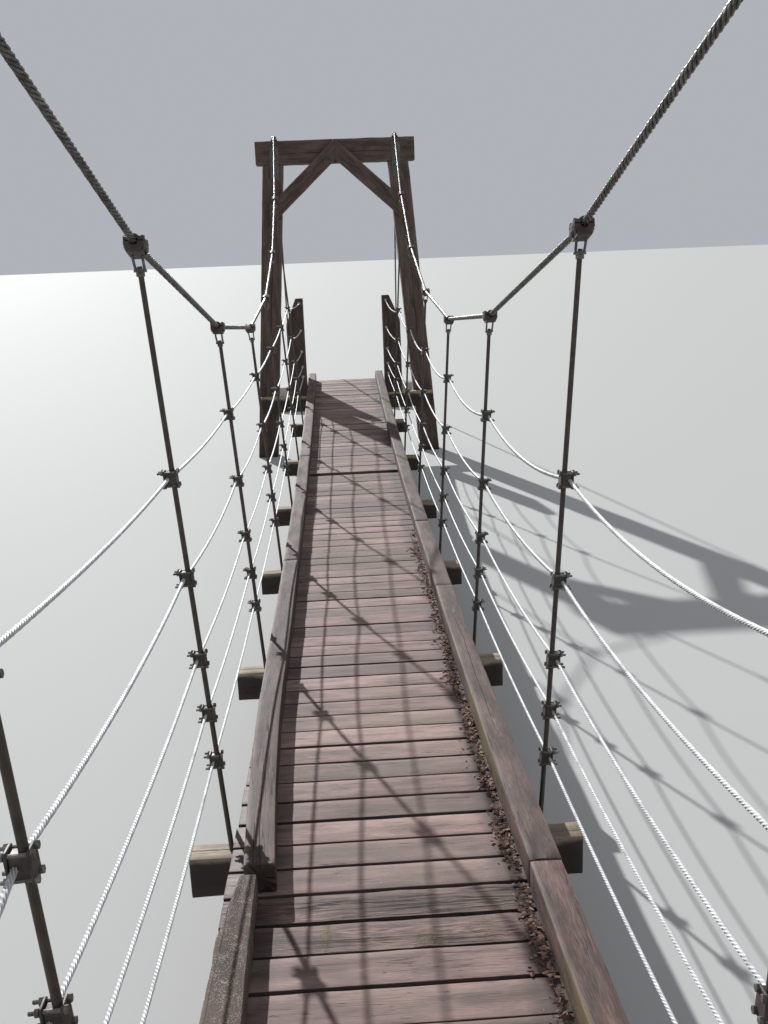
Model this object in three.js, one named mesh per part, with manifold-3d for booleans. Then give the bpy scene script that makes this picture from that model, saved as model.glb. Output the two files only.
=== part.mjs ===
// Rope suspension footbridge: timber portals, wire-rope main cables and rope railings.
// Millimetres, +X to the right, +Y along the deck, +Z up. The origin is on the ground at mid-span.
import * as THREE from 'three';
import { mergeVertices } from 'three/addons/utils/BufferGeometryUtils.js';
import Module from 'manifold-3d';

const wasm = await Module();
wasm.setup();

// Driving dimensions
const BAY = 1600;
const BAYS = 8;
const DECK_AT_PORTAL = 900;
const DECK_SAG = 290;
const DECK_HALF = 470;
const BOARD = 38;
const TIMBER = 89;
const CURB_INNER = 365;
const BEAM_HALF = 630;
const BEAM_DEPTH = 140;
const END_BEAM_HALF = 1060;
const END_BEAM_DEPTH = 190;

const POST_WIDTH = 240;
const PORTAL_DEPTH = 190;
const POST_TOP_X = 730;
const POST_DECK_X = 935;
const HEADER_HALF = 925;
const HEADER_HEIGHT = 265;
const BRACE_WIDTH = 172;
const BRACE_THICK = 48;
const BRACE_FOOT_X = 800;
const BRACE_CROWN = 147;
const BRACE_ANGLE = THREE.MathUtils.degToRad(42);

const CABLE_R = 11;
const CABLE_SIDES = 8;
const CABLE_OVER_MID_DECK = 1390;
const CABLE_RISE = 1755;
const CABLE_MID_X = 590;
const CABLE_SADDLE_X = 700;
const SADDLE_R = 170;
const SADDLE_HEIGHT = 45;
const SADDLE_WIDTH = 70;
const SADDLE_TURNS = 6;
const BACKSTAY_ANGLE = THREE.MathUtils.degToRad(42);
const ANCHOR_X = 850;
const ANCHOR_RUN = 3900;
const ANCHOR_LENGTH = 640;
const ANCHOR_WIDTH = 500;
const ANCHOR_HEIGHT = 360;

const ROD_R = 8;
const ROD_FOOT_X = 497;
const ROPE_R = 5.5;
const ROPE_HEIGHTS = { left: [1095, 790, 530, 350, 190], right: [1035, 720, 465, 295, 135] };
const ROPE_END_HEIGHTS = [960, 640, 390, 210, 90];
const ROPE_SLACK = { left: [18, 30, 24, 20, 16], right: [62, 40, 30, 24, 16] };
const ROPE_STEPS = 4;
const CLIP = { x: 34, y: 44, z: 30 };
const CABLE_CLAMP = { x: 56, y: 76, z: 64 };
const YOKE = { x: 36, y: 16, z: 50 };
const FOOT_PLATE = { size: 70, thick: 6 };
const FOOT_NUT_R = 14;
const FOOT_NUT_HEIGHT = 14;
const ROD_TAIL = 16;
const ROD_HOLE_R = 9;
const CLAMP_BORE_R = 11.7;
const CLAMP_TO_BEND = 4;

const END_POST_TOP_WIDTH = 89;
const END_POST_WIDTH = 215;
const END_POST_SHOULDER = 300;
const END_POST_HEIGHT = 1020;
const END_POST_DEPTH = 89;

// Gap where two pieces touch, and how far fused bars and cutters run into or past each other
const SEAT = 0.3;
const ANCHOR_SEAT = 0.9;
const LAP = 6;
const THREAD_LAP = 1;
const CUT_PAST = 20;
const WELD = 1e-3;
const SIDES_OF = { rope: 6, rod: 8, nut: 6, hole: 12, bore: 16 };

// Sizes that follow from them
const HALF_SPAN = BAY * BAYS / 2;
const MID = BAYS / 2;
const UNDER_BOARDS = BOARD + TIMBER;
const DECK_END = HALF_SPAN + PORTAL_DEPTH / 2;
const CABLE_TOP = DECK_AT_PORTAL - DECK_SAG + CABLE_OVER_MID_DECK + CABLE_RISE;
const HEADER_TOP = CABLE_TOP - SADDLE_HEIGHT;
const POST_TOP = HEADER_TOP - HEADER_HEIGHT;
const BATTER = (POST_DECK_X - POST_TOP_X) / (POST_TOP - DECK_AT_PORTAL);
const PORTAL_FACE = HALF_SPAN - PORTAL_DEPTH / 2;
const END_BEAM_FACE = PORTAL_FACE - TIMBER;
const END_POST_INNER = DECK_HALF + SEAT;
const CABLE_FLAT = CABLE_R * Math.cos(Math.PI / CABLE_SIDES);
const SIDES = { left: -1, right: 1 };
const ENDS = { near: -1, far: 1 };

const stained = new THREE.MeshStandardMaterial({ color: 0x5a4038, roughness: 0.85, metalness: 0 });
const weathered = new THREE.MeshStandardMaterial({ color: 0x6d6860, roughness: 0.9, metalness: 0 });
const darkTimber = new THREE.MeshStandardMaterial({ color: 0x47342e, roughness: 0.88, metalness: 0 });
const wireRope = new THREE.MeshStandardMaterial({ color: 0xb9bcc0, roughness: 0.45, metalness: 0.8 });
const darkSteel = new THREE.MeshStandardMaterial({ color: 0x4a4c50, roughness: 0.55, metalness: 0.7 });
const concrete = new THREE.MeshStandardMaterial({ color: 0x8d8b84, roughness: 0.95, metalness: 0 });

const bridge = new THREE.Group();

function place(name, geometry, material, x = 0, y = 0, z = 0) {
  const mesh = new THREE.Mesh(geometry, material.clone());
  mesh.name = name;
  mesh.position.set(x, y, z);
  bridge.add(mesh);
  return mesh;
}

// Booleans
function toSolid(geometry) {
  const bare = geometry.clone();
  bare.deleteAttribute('normal');
  bare.deleteAttribute('uv');
  const merged = mergeVertices(bare, WELD);
  return new wasm.Manifold(new wasm.Mesh({
    numProp: 3,
    vertProperties: Float32Array.from(merged.attributes.position.array),
    triVerts: Uint32Array.from(merged.index.array),
  }));
}

function toGeometry(solid) {
  const mesh = solid.getMesh();
  const geometry = new THREE.BufferGeometry();
  geometry.setAttribute('position', new THREE.BufferAttribute(mesh.vertProperties, 3));
  geometry.setIndex(new THREE.BufferAttribute(mesh.triVerts, 1));
  geometry.computeVertexNormals();
  return geometry;
}

function joined(geometries) {
  const solids = geometries.map(toSolid);
  return solids.reduce((sum, solid) => sum.add(solid));
}

// Profiles and bars
function polygon(points) {
  return new THREE.Shape(points.map(([u, v]) => new THREE.Vector2(u, v)));
}

function extrude(shape, depth) {
  return new THREE.ExtrudeGeometry(shape, { depth, bevelEnabled: false, steps: 1 });
}

// A profile drawn across the bridge (x, z), centred on y = 0.
function acrossProfile(points, depth) {
  const geometry = extrude(polygon(points), depth);
  geometry.rotateX(Math.PI / 2);
  geometry.translate(0, depth / 2, 0);
  return geometry;
}

// A profile drawn along the bridge (y, z), centred on x = 0.
function alongProfile(points, width) {
  const geometry = extrude(polygon(points), width);
  const turn = new THREE.Matrix4().makeBasis(
    new THREE.Vector3(0, 1, 0),
    new THREE.Vector3(0, 0, 1),
    new THREE.Vector3(1, 0, 0),
  );
  geometry.applyMatrix4(turn);
  geometry.translate(-width / 2, 0, 0);
  return geometry;
}

function box(size, centre, tilt = 0) {
  const geometry = new THREE.BoxGeometry(size.x, size.y, size.z);
  geometry.rotateX(tilt);
  geometry.translate(centre.x, centre.y, centre.z);
  return geometry;
}

function rod(from, to, radius, sides) {
  const axis = new THREE.Vector3().subVectors(to, from);
  const geometry = new THREE.CylinderGeometry(radius, radius, axis.length(), sides);
  const up = new THREE.Vector3(0, 1, 0);
  const turn = new THREE.Quaternion().setFromUnitVectors(up, axis.clone().normalize());
  geometry.applyQuaternion(turn);
  geometry.translate((from.x + to.x) / 2, (from.y + to.y) / 2, (from.z + to.z) / 2);
  return geometry;
}

// A route through given points, sampled exactly at those points.
class Route extends THREE.Curve {
  constructor(points) {
    super();
    this.points = points;
  }

  getPoint(t, target = new THREE.Vector3()) {
    const last = this.points.length - 1;
    const spot = Math.min(Math.max(t, 0), 1) * last;
    const index = Math.min(Math.floor(spot), last - 1);
    return target.lerpVectors(this.points[index], this.points[index + 1], spot - index);
  }

  getUtoTmapping(u) {
    return u;
  }
}

function cableAlong(points, radius, sides) {
  const ring = [];
  for (let k = 0; k < sides; k += 1) {
    const angle = (k + 0.5) * 2 * Math.PI / sides;
    ring.push([radius * Math.cos(angle), radius * Math.sin(angle)]);
  }
  return new THREE.ExtrudeGeometry(polygon(ring), {
    steps: points.length - 1,
    extrudePath: new Route(points),
    bevelEnabled: false,
  });
}

// Heights along the bridge, by hanger number: 0 at the near portal, BAYS at the far one
const fromMid = (i) => (i - MID) / MID;
const stationY = (i) => BAY * (i - MID);
const deckZ = (i) => DECK_AT_PORTAL - DECK_SAG * (1 - fromMid(i) ** 2);
const cableZ = (i) => CABLE_TOP - CABLE_RISE * (1 - fromMid(i) ** 2);
const cableX = (i) => CABLE_MID_X + (CABLE_SADDLE_X - CABLE_MID_X) * fromMid(i) ** 2;
const cableSlope = (i) => (cableZ(i + 0.5) - cableZ(i - 0.5)) / BAY;
const stations = Array.from({ length: BAYS - 1 }, (_, k) => k + 1);

// The deck line is straight between cross-beams and runs on through the portals.
function deckLine() {
  const overrun = (DECK_END - HALF_SPAN) / BAY;
  const line = [];
  for (let i = 0; i <= BAYS; i += 1) {
    line.push([stationY(i), deckZ(i)]);
  }
  const rise = deckZ(0) - deckZ(1);
  line[0] = [-DECK_END, deckZ(0) + rise * overrun];
  line[BAYS] = [DECK_END, deckZ(BAYS) + rise * overrun];
  return line;
}

function deckLayer(bottom, top, width) {
  const line = deckLine();
  const under = line.map(([y, z]) => [y, z + bottom]);
  const over = line.map(([y, z]) => [y, z + top]).reverse();
  return alongProfile([...under, ...over], width);
}

// Deck, curbs and stringers
function addDeck() {
  place('deck', deckLayer(-BOARD, 0, 2 * DECK_HALF), stained);
  for (const [side, sign] of Object.entries(SIDES)) {
    const stringer = deckLayer(-UNDER_BOARDS, -BOARD - SEAT, TIMBER);
    place(`stringer_${side}`, stringer, darkTimber, sign * (DECK_HALF - TIMBER / 2));
    const curb = deckLayer(SEAT, TIMBER, TIMBER);
    place(`curb_${side}`, curb, side === 'left' ? weathered : stained, sign * (CURB_INNER + TIMBER / 2));
  }
}

// The line of a hanger's rod, from its foot in the cross-beam to the main cable
function hangerLine(i, sign) {
  const foot = new THREE.Vector3(sign * ROD_FOOT_X, stationY(i), deckZ(i) - UNDER_BOARDS);
  const head = new THREE.Vector3(sign * cableX(i), stationY(i), cableZ(i));
  return (z) => foot.clone().lerp(head, (z - foot.z) / (head.z - foot.z));
}

// The stringers bear on the edge of a cross-beam that faces mid-span.
const inwardSlope = (i) => Math.abs(deckZ(i) - deckZ(i - Math.sign(i - MID))) / BAY;
const beamTop = (i) => deckZ(i) - UNDER_BOARDS - inwardSlope(i) * TIMBER / 2 - SEAT;

function addCrossBeams() {
  for (const i of stations) {
    const size = { x: 2 * BEAM_HALF, y: TIMBER, z: BEAM_DEPTH };
    const middle = new THREE.Vector3(0, stationY(i), beamTop(i) - BEAM_DEPTH / 2);
    let beam = toSolid(box(size, middle));
    for (const sign of Object.values(SIDES)) {
      const at = hangerLine(i, sign);
      const bottom = at(beamTop(i) - BEAM_DEPTH - CUT_PAST);
      const hole = rod(bottom, at(beamTop(i) + CUT_PAST), ROD_HOLE_R, SIDES_OF.hole);
      beam = beam.subtract(toSolid(hole));
    }
    place(`cross_beam_${i}`, toGeometry(beam), weathered);
  }
}

// One railing side: five ropes clipped to seven hangers, fused where they cross
function ropePoints(level, side) {
  const sign = SIDES[side];
  const slack = ROPE_SLACK[side][level];
  const height = ROPE_HEIGHTS[side][level];
  const points = [];
  const knots = [];
  for (let i = 0; i <= BAYS; i += 1) {
    const knot = hangerLine(i, sign)(deckZ(i) + height);
    knot.x += sign * (ROD_R + ROPE_R);
    knots.push(knot);
  }
  for (const [end, next] of [[0, 1], [BAYS, BAYS - 1]]) {
    const z = DECK_AT_PORTAL + ROPE_END_HEIGHTS[level];
    const slope = Math.abs(knots[next].z - z - 4 * slack) / BAY;
    const y = Math.sign(end - MID) * (END_BEAM_FACE - SEAT - ROPE_R * slope);
    knots[end].set(sign * (END_POST_INNER + END_POST_TOP_WIDTH / 2), y, z);
  }
  for (let bay = 0; bay < BAYS; bay += 1) {
    for (let step = 0; step < ROPE_STEPS; step += 1) {
      const t = step / ROPE_STEPS;
      const point = knots[bay].clone().lerp(knots[bay + 1], t);
      point.z -= 4 * slack * t * (1 - t);
      points.push(point);
    }
  }
  points.push(knots[BAYS]);
  return points;
}

function hangerPieces(i, side) {
  const sign = SIDES[side];
  const at = hangerLine(i, sign);
  const tilt = Math.atan(cableSlope(i));
  const plateTop = beamTop(i) - BEAM_DEPTH - SEAT;
  const nutTop = plateTop - FOOT_PLATE.thick;
  const yokeTop = cableZ(i) - CABLE_CLAMP.z / 2 + LAP;
  const pieces = [
    rod(at(nutTop - FOOT_NUT_HEIGHT - ROD_TAIL), at(yokeTop - YOKE.z / 2), ROD_R, SIDES_OF.rod),
    box({ x: FOOT_PLATE.size, y: FOOT_PLATE.size, z: FOOT_PLATE.thick }, at(plateTop - FOOT_PLATE.thick / 2)),
    rod(at(nutTop + THREAD_LAP), at(nutTop - FOOT_NUT_HEIGHT), FOOT_NUT_R, SIDES_OF.nut),
    box(YOKE, at(yokeTop - YOKE.z / 2)),
    box(CABLE_CLAMP, at(cableZ(i)), tilt),
  ];
  for (const height of ROPE_HEIGHTS[side]) {
    const centre = at(deckZ(i) + height);
    centre.x += sign * ROPE_R;
    pieces.push(box(CLIP, centre));
  }
  return pieces;
}

function cableBore(i, sign) {
  const reach = CABLE_CLAMP.y;
  const middle = new THREE.Vector3(sign * cableX(i), stationY(i), cableZ(i));
  const along = new THREE.Vector3(0, 1, cableSlope(i)).normalize().multiplyScalar(reach);
  return rod(middle.clone().sub(along), middle.clone().add(along), CLAMP_BORE_R, SIDES_OF.bore);
}

function addRopeRails() {
  for (const [side, sign] of Object.entries(SIDES)) {
    const bars = [];
    for (let level = 0; level < ROPE_END_HEIGHTS.length; level += 1) {
      bars.push(cableAlong(ropePoints(level, side), ROPE_R, SIDES_OF.rope));
    }
    for (const i of stations) {
      bars.push(...hangerPieces(i, side));
    }
    let rail = joined(bars);
    for (const i of stations) {
      rail = rail.subtract(toSolid(cableBore(i, sign)));
    }
    place(`rope_rail_${side}`, toGeometry(rail), wireRope);
  }
}

// Main cables, one from anchor to anchor on each side
function saddleArc(end) {
  const spanSlope = Math.atan(cableSlope(BAYS - 0.5));
  const arc = [];
  for (let k = 0; k <= SADDLE_TURNS; k += 1) {
    const angle = -spanSlope + (spanSlope + BACKSTAY_ANGLE) * k / SADDLE_TURNS;
    const y = HALF_SPAN + SADDLE_R * Math.sin(angle);
    const z = CABLE_TOP - SADDLE_R * (1 - Math.cos(angle));
    arc.push(new THREE.Vector3(CABLE_SADDLE_X, end * y, z));
  }
  return arc;
}

function cableRoute() {
  const grip = CABLE_CLAMP.y / 2 + CLAMP_TO_BEND;
  const far = saddleArc(ENDS.far);
  const leave = far[far.length - 1];
  const anchorY = HALF_SPAN + ANCHOR_RUN;
  const foot = new THREE.Vector3(ANCHOR_X, anchorY, leave.z - (anchorY - leave.y) * Math.tan(BACKSTAY_ANGLE));
  const farEnd = [...far, foot];
  const nearEnd = farEnd.map((point) => new THREE.Vector3(point.x, -point.y, point.z)).reverse();
  const span = [];
  for (const i of stations) {
    for (const step of [-grip, grip]) {
      span.push(new THREE.Vector3(cableX(i), stationY(i) + step, cableZ(i) + step * cableSlope(i)));
    }
  }
  return [...nearEnd, ...span, ...farEnd];
}

function addMainCables() {
  for (const [side, sign] of Object.entries(SIDES)) {
    const points = cableRoute().map((point) => new THREE.Vector3(sign * point.x, point.y, point.z));
    place(`main_cable_${side}`, cableAlong(points, CABLE_R, CABLE_SIDES), wireRope);
  }
}

function addAnchors() {
  const foot = cableRoute().pop();
  const rise = new THREE.Vector2(Math.sin(BACKSTAY_ANGLE), Math.cos(BACKSTAY_ANGLE));
  const toe = foot.z / rise.y * rise.x;
  const crest = (ANCHOR_HEIGHT - foot.z) / rise.y * rise.x;
  const back = ANCHOR_LENGTH - toe;
  for (const [end, direction] of Object.entries(ENDS)) {
    const outline = [[-toe, 0], [back, 0], [back, ANCHOR_HEIGHT], [crest, ANCHOR_HEIGHT]];
    const profile = outline.map(([y, z]) => [direction * (y + ANCHOR_SEAT), z]);
    for (const [side, sign] of Object.entries(SIDES)) {
      const block = alongProfile(profile, ANCHOR_WIDTH);
      place(`${end}_anchor_block_${side}`, block, concrete, sign * ANCHOR_X, direction * foot.y);
    }
  }
}

// Portals
function postOutline() {
  const footX = POST_DECK_X + BATTER * DECK_AT_PORTAL;
  const half = POST_WIDTH / 2;
  return [[footX - half, 0], [footX + half, 0], [POST_TOP_X + half, POST_TOP], [POST_TOP_X - half, POST_TOP]];
}

function braceOutline() {
  const half = BRACE_WIDTH / 2 / Math.cos(BRACE_ANGLE);
  const crown = POST_TOP + BRACE_CROWN;
  const foot = crown - BRACE_FOOT_X * Math.tan(BRACE_ANGLE);
  return [
    [SEAT, crown - half],
    [BRACE_FOOT_X, foot - half],
    [BRACE_FOOT_X, foot + half],
    [SEAT, crown + half],
  ];
}

function mirrored(points, sign) {
  return points.map(([x, z]) => [sign * x, z]);
}

// The shoe's round bed lies just under the flats of the faceted cable.
function saddleProfile() {
  const turn = (Math.atan(cableSlope(BAYS - 0.5)) + BACKSTAY_ANGLE) / SADDLE_TURNS;
  const bed = SADDLE_R * Math.cos(turn / 2) - CABLE_FLAT - SEAT;
  const centre = SADDLE_HEIGHT - 2 * SEAT - SADDLE_R;
  const reach = Math.asin(PORTAL_DEPTH / 2 / bed);
  const profile = [[PORTAL_DEPTH / 2, 0], [-PORTAL_DEPTH / 2, 0]];
  for (let k = 0; k <= SADDLE_TURNS; k += 1) {
    const angle = -reach + 2 * reach * k / SADDLE_TURNS;
    profile.push([bed * Math.sin(angle), centre + bed * Math.cos(angle)]);
  }
  return profile;
}

function addPortals() {
  for (const [end, direction] of Object.entries(ENDS)) {
    const y = direction * HALF_SPAN;
    const braceY = direction * (PORTAL_FACE - SEAT - BRACE_THICK / 2);
    const header = new THREE.BoxGeometry(2 * HEADER_HALF, PORTAL_DEPTH, HEADER_HEIGHT);
    place(`${end}_header`, header, stained, 0, y, POST_TOP + HEADER_HEIGHT / 2 + SEAT);
    for (const [side, sign] of Object.entries(SIDES)) {
      const post = acrossProfile(mirrored(postOutline(), sign), PORTAL_DEPTH);
      place(`${end}_post_${side}`, post, stained, 0, y);
      const brace = acrossProfile(mirrored(braceOutline(), sign), BRACE_THICK);
      place(`${end}_knee_brace_${side}`, brace, stained, 0, braceY);
      const shoe = alongProfile(saddleProfile(), SADDLE_WIDTH);
      place(`${end}_saddle_${side}`, shoe, darkSteel, sign * CABLE_SADDLE_X, y, HEADER_TOP + 2 * SEAT);
    }
  }
}

// The beam that carries each end of the deck, and the posts that hold the rope ends
function addEndFrames() {
  const slope = (deckZ(0) - deckZ(1)) / BAY;
  const top = DECK_AT_PORTAL - UNDER_BOARDS - slope * (HALF_SPAN - END_BEAM_FACE) - SEAT;
  const outline = [
    [END_POST_INNER, top + SEAT],
    [END_POST_INNER + END_POST_WIDTH, top + SEAT],
    [END_POST_INNER + END_POST_WIDTH, DECK_AT_PORTAL + END_POST_HEIGHT - END_POST_SHOULDER],
    [END_POST_INNER + END_POST_TOP_WIDTH, DECK_AT_PORTAL + END_POST_HEIGHT],
    [END_POST_INNER, DECK_AT_PORTAL + END_POST_HEIGHT],
  ];
  for (const [end, direction] of Object.entries(ENDS)) {
    const y = direction * (PORTAL_FACE - SEAT - TIMBER / 2);
    const beam = new THREE.BoxGeometry(2 * END_BEAM_HALF, TIMBER - SEAT, END_BEAM_DEPTH);
    place(`${end}_end_beam`, beam, weathered, 0, y, top - END_BEAM_DEPTH / 2);
    for (const [side, sign] of Object.entries(SIDES)) {
      const post = acrossProfile(mirrored(outline, sign), END_POST_DEPTH - SEAT);
      place(`${end}_rail_post_${side}`, post, darkTimber, 0, y);
    }
  }
}

addPortals();
addEndFrames();
addDeck();
addCrossBeams();
addMainCables();
addAnchors();
addRopeRails();

export default bridge;
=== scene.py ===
import math
import random

import bpy
import numpy as np
from mathutils import Matrix, Vector, noise


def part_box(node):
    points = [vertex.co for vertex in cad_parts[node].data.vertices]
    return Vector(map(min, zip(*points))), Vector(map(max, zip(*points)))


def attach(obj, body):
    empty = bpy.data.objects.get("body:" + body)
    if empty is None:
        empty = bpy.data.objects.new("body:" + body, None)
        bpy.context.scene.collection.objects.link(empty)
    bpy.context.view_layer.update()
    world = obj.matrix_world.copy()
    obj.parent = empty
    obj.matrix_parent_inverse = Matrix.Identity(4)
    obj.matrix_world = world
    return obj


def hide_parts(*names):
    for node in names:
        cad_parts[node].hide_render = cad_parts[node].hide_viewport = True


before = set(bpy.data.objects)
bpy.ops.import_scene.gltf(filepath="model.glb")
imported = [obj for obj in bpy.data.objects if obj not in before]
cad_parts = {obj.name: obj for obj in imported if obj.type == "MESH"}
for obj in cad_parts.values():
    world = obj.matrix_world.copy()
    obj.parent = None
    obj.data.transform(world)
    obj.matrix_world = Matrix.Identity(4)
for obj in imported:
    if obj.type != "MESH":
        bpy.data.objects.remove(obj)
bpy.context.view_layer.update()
print("frame loaded:", len(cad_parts), "nodes")

sides = {"left": -1, "right": 1}
ends = {"near": -1, "far": 1}
xWay = Vector((1, 0, 0))
yWay = Vector((0, 1, 0))
zWay = Vector((0, 0, 1))

# the hanging lines, in metres; hangers are counted 1 to 7 from the near portal, 0 and 8 being the portals
span = {
    "bay": 1.6,
    "bays": 8,
    "deckAtPortal": 0.9,
    "deckSag": 0.29,
    "underBoards": 0.127,     # board and stringer together
    "cableTop": 3.755,
    "cableRise": 1.755,
    "cableMidX": 0.59,
    "cableSaddleX": 0.70,
    "rodFootX": 0.497,
    "touch": 0.0003,          # gap between pieces that rest on each other
}
hangers = range(1, span["bays"])


def fromMid(i):
    return (i - span["bays"] / 2) / (span["bays"] / 2)


def stationY(i):
    return span["bay"] * (i - span["bays"] / 2)


def deckZ(i):
    return span["deckAtPortal"] - span["deckSag"] * (1 - fromMid(i) ** 2)


def cableZ(i):
    return span["cableTop"] - span["cableRise"] * (1 - fromMid(i) ** 2)


def cableX(i):
    return span["cableMidX"] + (span["cableSaddleX"] - span["cableMidX"]) * fromMid(i) ** 2


def cableSlope(i):
    return (cableZ(i + 0.5) - cableZ(i - 0.5)) / span["bay"]


def deckHeight(y):
    # straight from cross-beam to cross-beam, and on through the portals
    spot = y / span["bay"] + span["bays"] / 2
    first = min(max(int(math.floor(spot)), 0), span["bays"] - 1)
    return deckZ(first) + (deckZ(first + 1) - deckZ(first)) * (spot - first)


def deckPitch(y):
    reach = 0.01
    return (deckHeight(y + reach) - deckHeight(y - reach)) / (2 * reach)


def hangerPoint(i, side, z):
    foot = Vector((side * span["rodFootX"], stationY(i), deckZ(i) - span["underBoards"]))
    head = Vector((side * cableX(i), stationY(i), cableZ(i)))
    return foot.lerp(head, (z - foot.z) / (head.z - foot.z))


# meshes
class Stock:
    # the bodies of one piece, with what its finish reads at each point
    def __init__(self):
        self.points = []
        self.faces = []
        self.ended = []
        # the worn note holds edge wear, and painted shade in check bottoms, board gaps and the hollows of
        # ropes
        self.notes = {"grain": [], "age": [], "worn": [], "tone": []}
        self.count = 0

    def add(self, points, faces, grain=None, age=None, worn=None, tone=0.5, ended=0):
        points = np.asarray(points, float).reshape(-1, 3)
        size = len(points)
        self.points.append(points)
        self.faces += [tuple(int(v) + self.count for v in face) for face in faces]
        self.ended += [0] * (len(faces) - ended) + [1] * ended
        self.notes["grain"].append(points if grain is None else grain)
        self.notes["age"].append(np.zeros((size, 3)) if age is None else age)
        self.notes["worn"].append(np.zeros(size) if worn is None else worn)
        self.notes["tone"].append(np.full(size, tone))
        self.count += size

    def piece(self, name, material, slot, nodes=(), sharp=40):
        mesh = bpy.data.meshes.new(name)
        mesh.from_pydata(np.concatenate(self.points).tolist(), [], self.faces)
        for note, values in self.notes.items():
            values = np.concatenate(values).astype(np.float32)
            kind, field = ("FLOAT", "value") if values.ndim == 1 else ("FLOAT_VECTOR", "vector")
            mesh.attributes.new(note, kind, "POINT").data.foreach_set(field, values.ravel())
        layer = mesh.attributes.new("cutEnd", "FLOAT", "FACE")
        layer.data.foreach_set("value", np.array(self.ended, np.float32))
        mesh.polygons.foreach_set("use_smooth", [True] * len(mesh.polygons))
        mesh.set_sharp_from_angle(angle=math.radians(sharp))
        mesh.materials.append(material)
        made = bpy.data.objects.new(name, mesh)
        bpy.context.scene.collection.objects.link(made)
        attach(made, "root")
        if nodes:
            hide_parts(*nodes)


def held(value):
    # limits a value to the range from 0 to 1
    return max(0.0, min(1.0, value))


def ripple(points, scale, shift=0.0):
    # smooth noise between -1 and 1 at each point
    moved = points * scale + shift
    return np.array([noise.noise(p) for p in moved.tolist()])


def crack(side, at, width, depth, start, end, fade=0.2, drift=0.004):
    # a check, which is a drying crack: its side of the timber, its place across that side and its
    # run; it opens over the length of its fade and wanders by its drift
    return {"at": at, "side": side, "width": width, "depth": depth, "from": start, "to": end,
            "fade": fade, "drift": drift}


def sawnRing(width, depth, edge, spacing, checks):
    # a sawn section, anticlockwise; each row holds the place, the way in, the way along its side,
    # whether it is on an edge, the number of its check and whether it is that check's bottom
    arcSteps = 2
    apart = 0.004             # kept free beside a check
    halfW = width / 2 - edge
    halfD = depth / 2 - edge
    corners = ((1, 1, 0), (-1, 1, 90), (-1, -1, 180), (1, -1, 270))
    rows = []
    for side, (signU, signV, start) in enumerate(corners):
        for k in range(arcSteps + 1):
            turn = math.radians(start + 90 * k / arcSteps)
            out = (math.cos(turn), math.sin(turn))
            rows.append([signU * halfW + edge * out[0], signV * halfD + edge * out[1],
                         -out[0], -out[1], 0, 0, 1, -1, 0])
        first = rows[-1]
        nextU, nextV, _ = corners[(side + 1) % 4]
        last = (nextU * halfW + edge * out[0], nextV * halfD + edge * out[1])
        length = math.hypot(last[0] - first[0], last[1] - first[1])
        along = ((last[0] - first[0]) / length, (last[1] - first[1]) / length)
        cuts = max(1, round(length / spacing))
        marks = [(k / cuts, -1, 0) for k in range(1, cuts)]
        for number, check in enumerate(checks):
            if check["side"] == side:
                half = check["width"] / 2 / length
                marks = [m for m in marks if abs(m[0] - check["at"]) > 2 * half + apart / length]
                marks += [(check["at"] - half, number, 0), (check["at"], number, 1),
                          (check["at"] + half, number, 0)]
        for share, number, deep in sorted(marks):
            rows.append([first[0] + along[0] * length * share, first[1] + along[1] * length * share,
                         -out[0], -out[1], along[0], along[1], 0, number, deep])
    return np.array(rows)


def skinFaces(rings, around):
    # the quads between rings of points that follow one another
    return [(k * around + i, k * around + (i + 1) % around, (k + 1) * around + (i + 1) % around,
             (k + 1) * around + i) for k in range(rings - 1) for i in range(around)]


def closedFaces(rings, around):
    first = tuple(reversed(range(around)))
    last = tuple((rings - 1) * around + i for i in range(around))
    return [first] + skinFaces(rings, around) + [last]


def evenLine(line, marks):
    line = np.asarray(line, float)
    steps = np.linalg.norm(np.diff(line, axis=0), axis=1)
    run = np.concatenate([[0], np.cumsum(steps)])
    return np.stack([np.interp(marks, run, line[:, k]) for k in range(3)], axis=1)


def lineLength(line):
    return float(np.linalg.norm(np.diff(np.asarray(line, float), axis=0), axis=1).sum())


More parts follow.
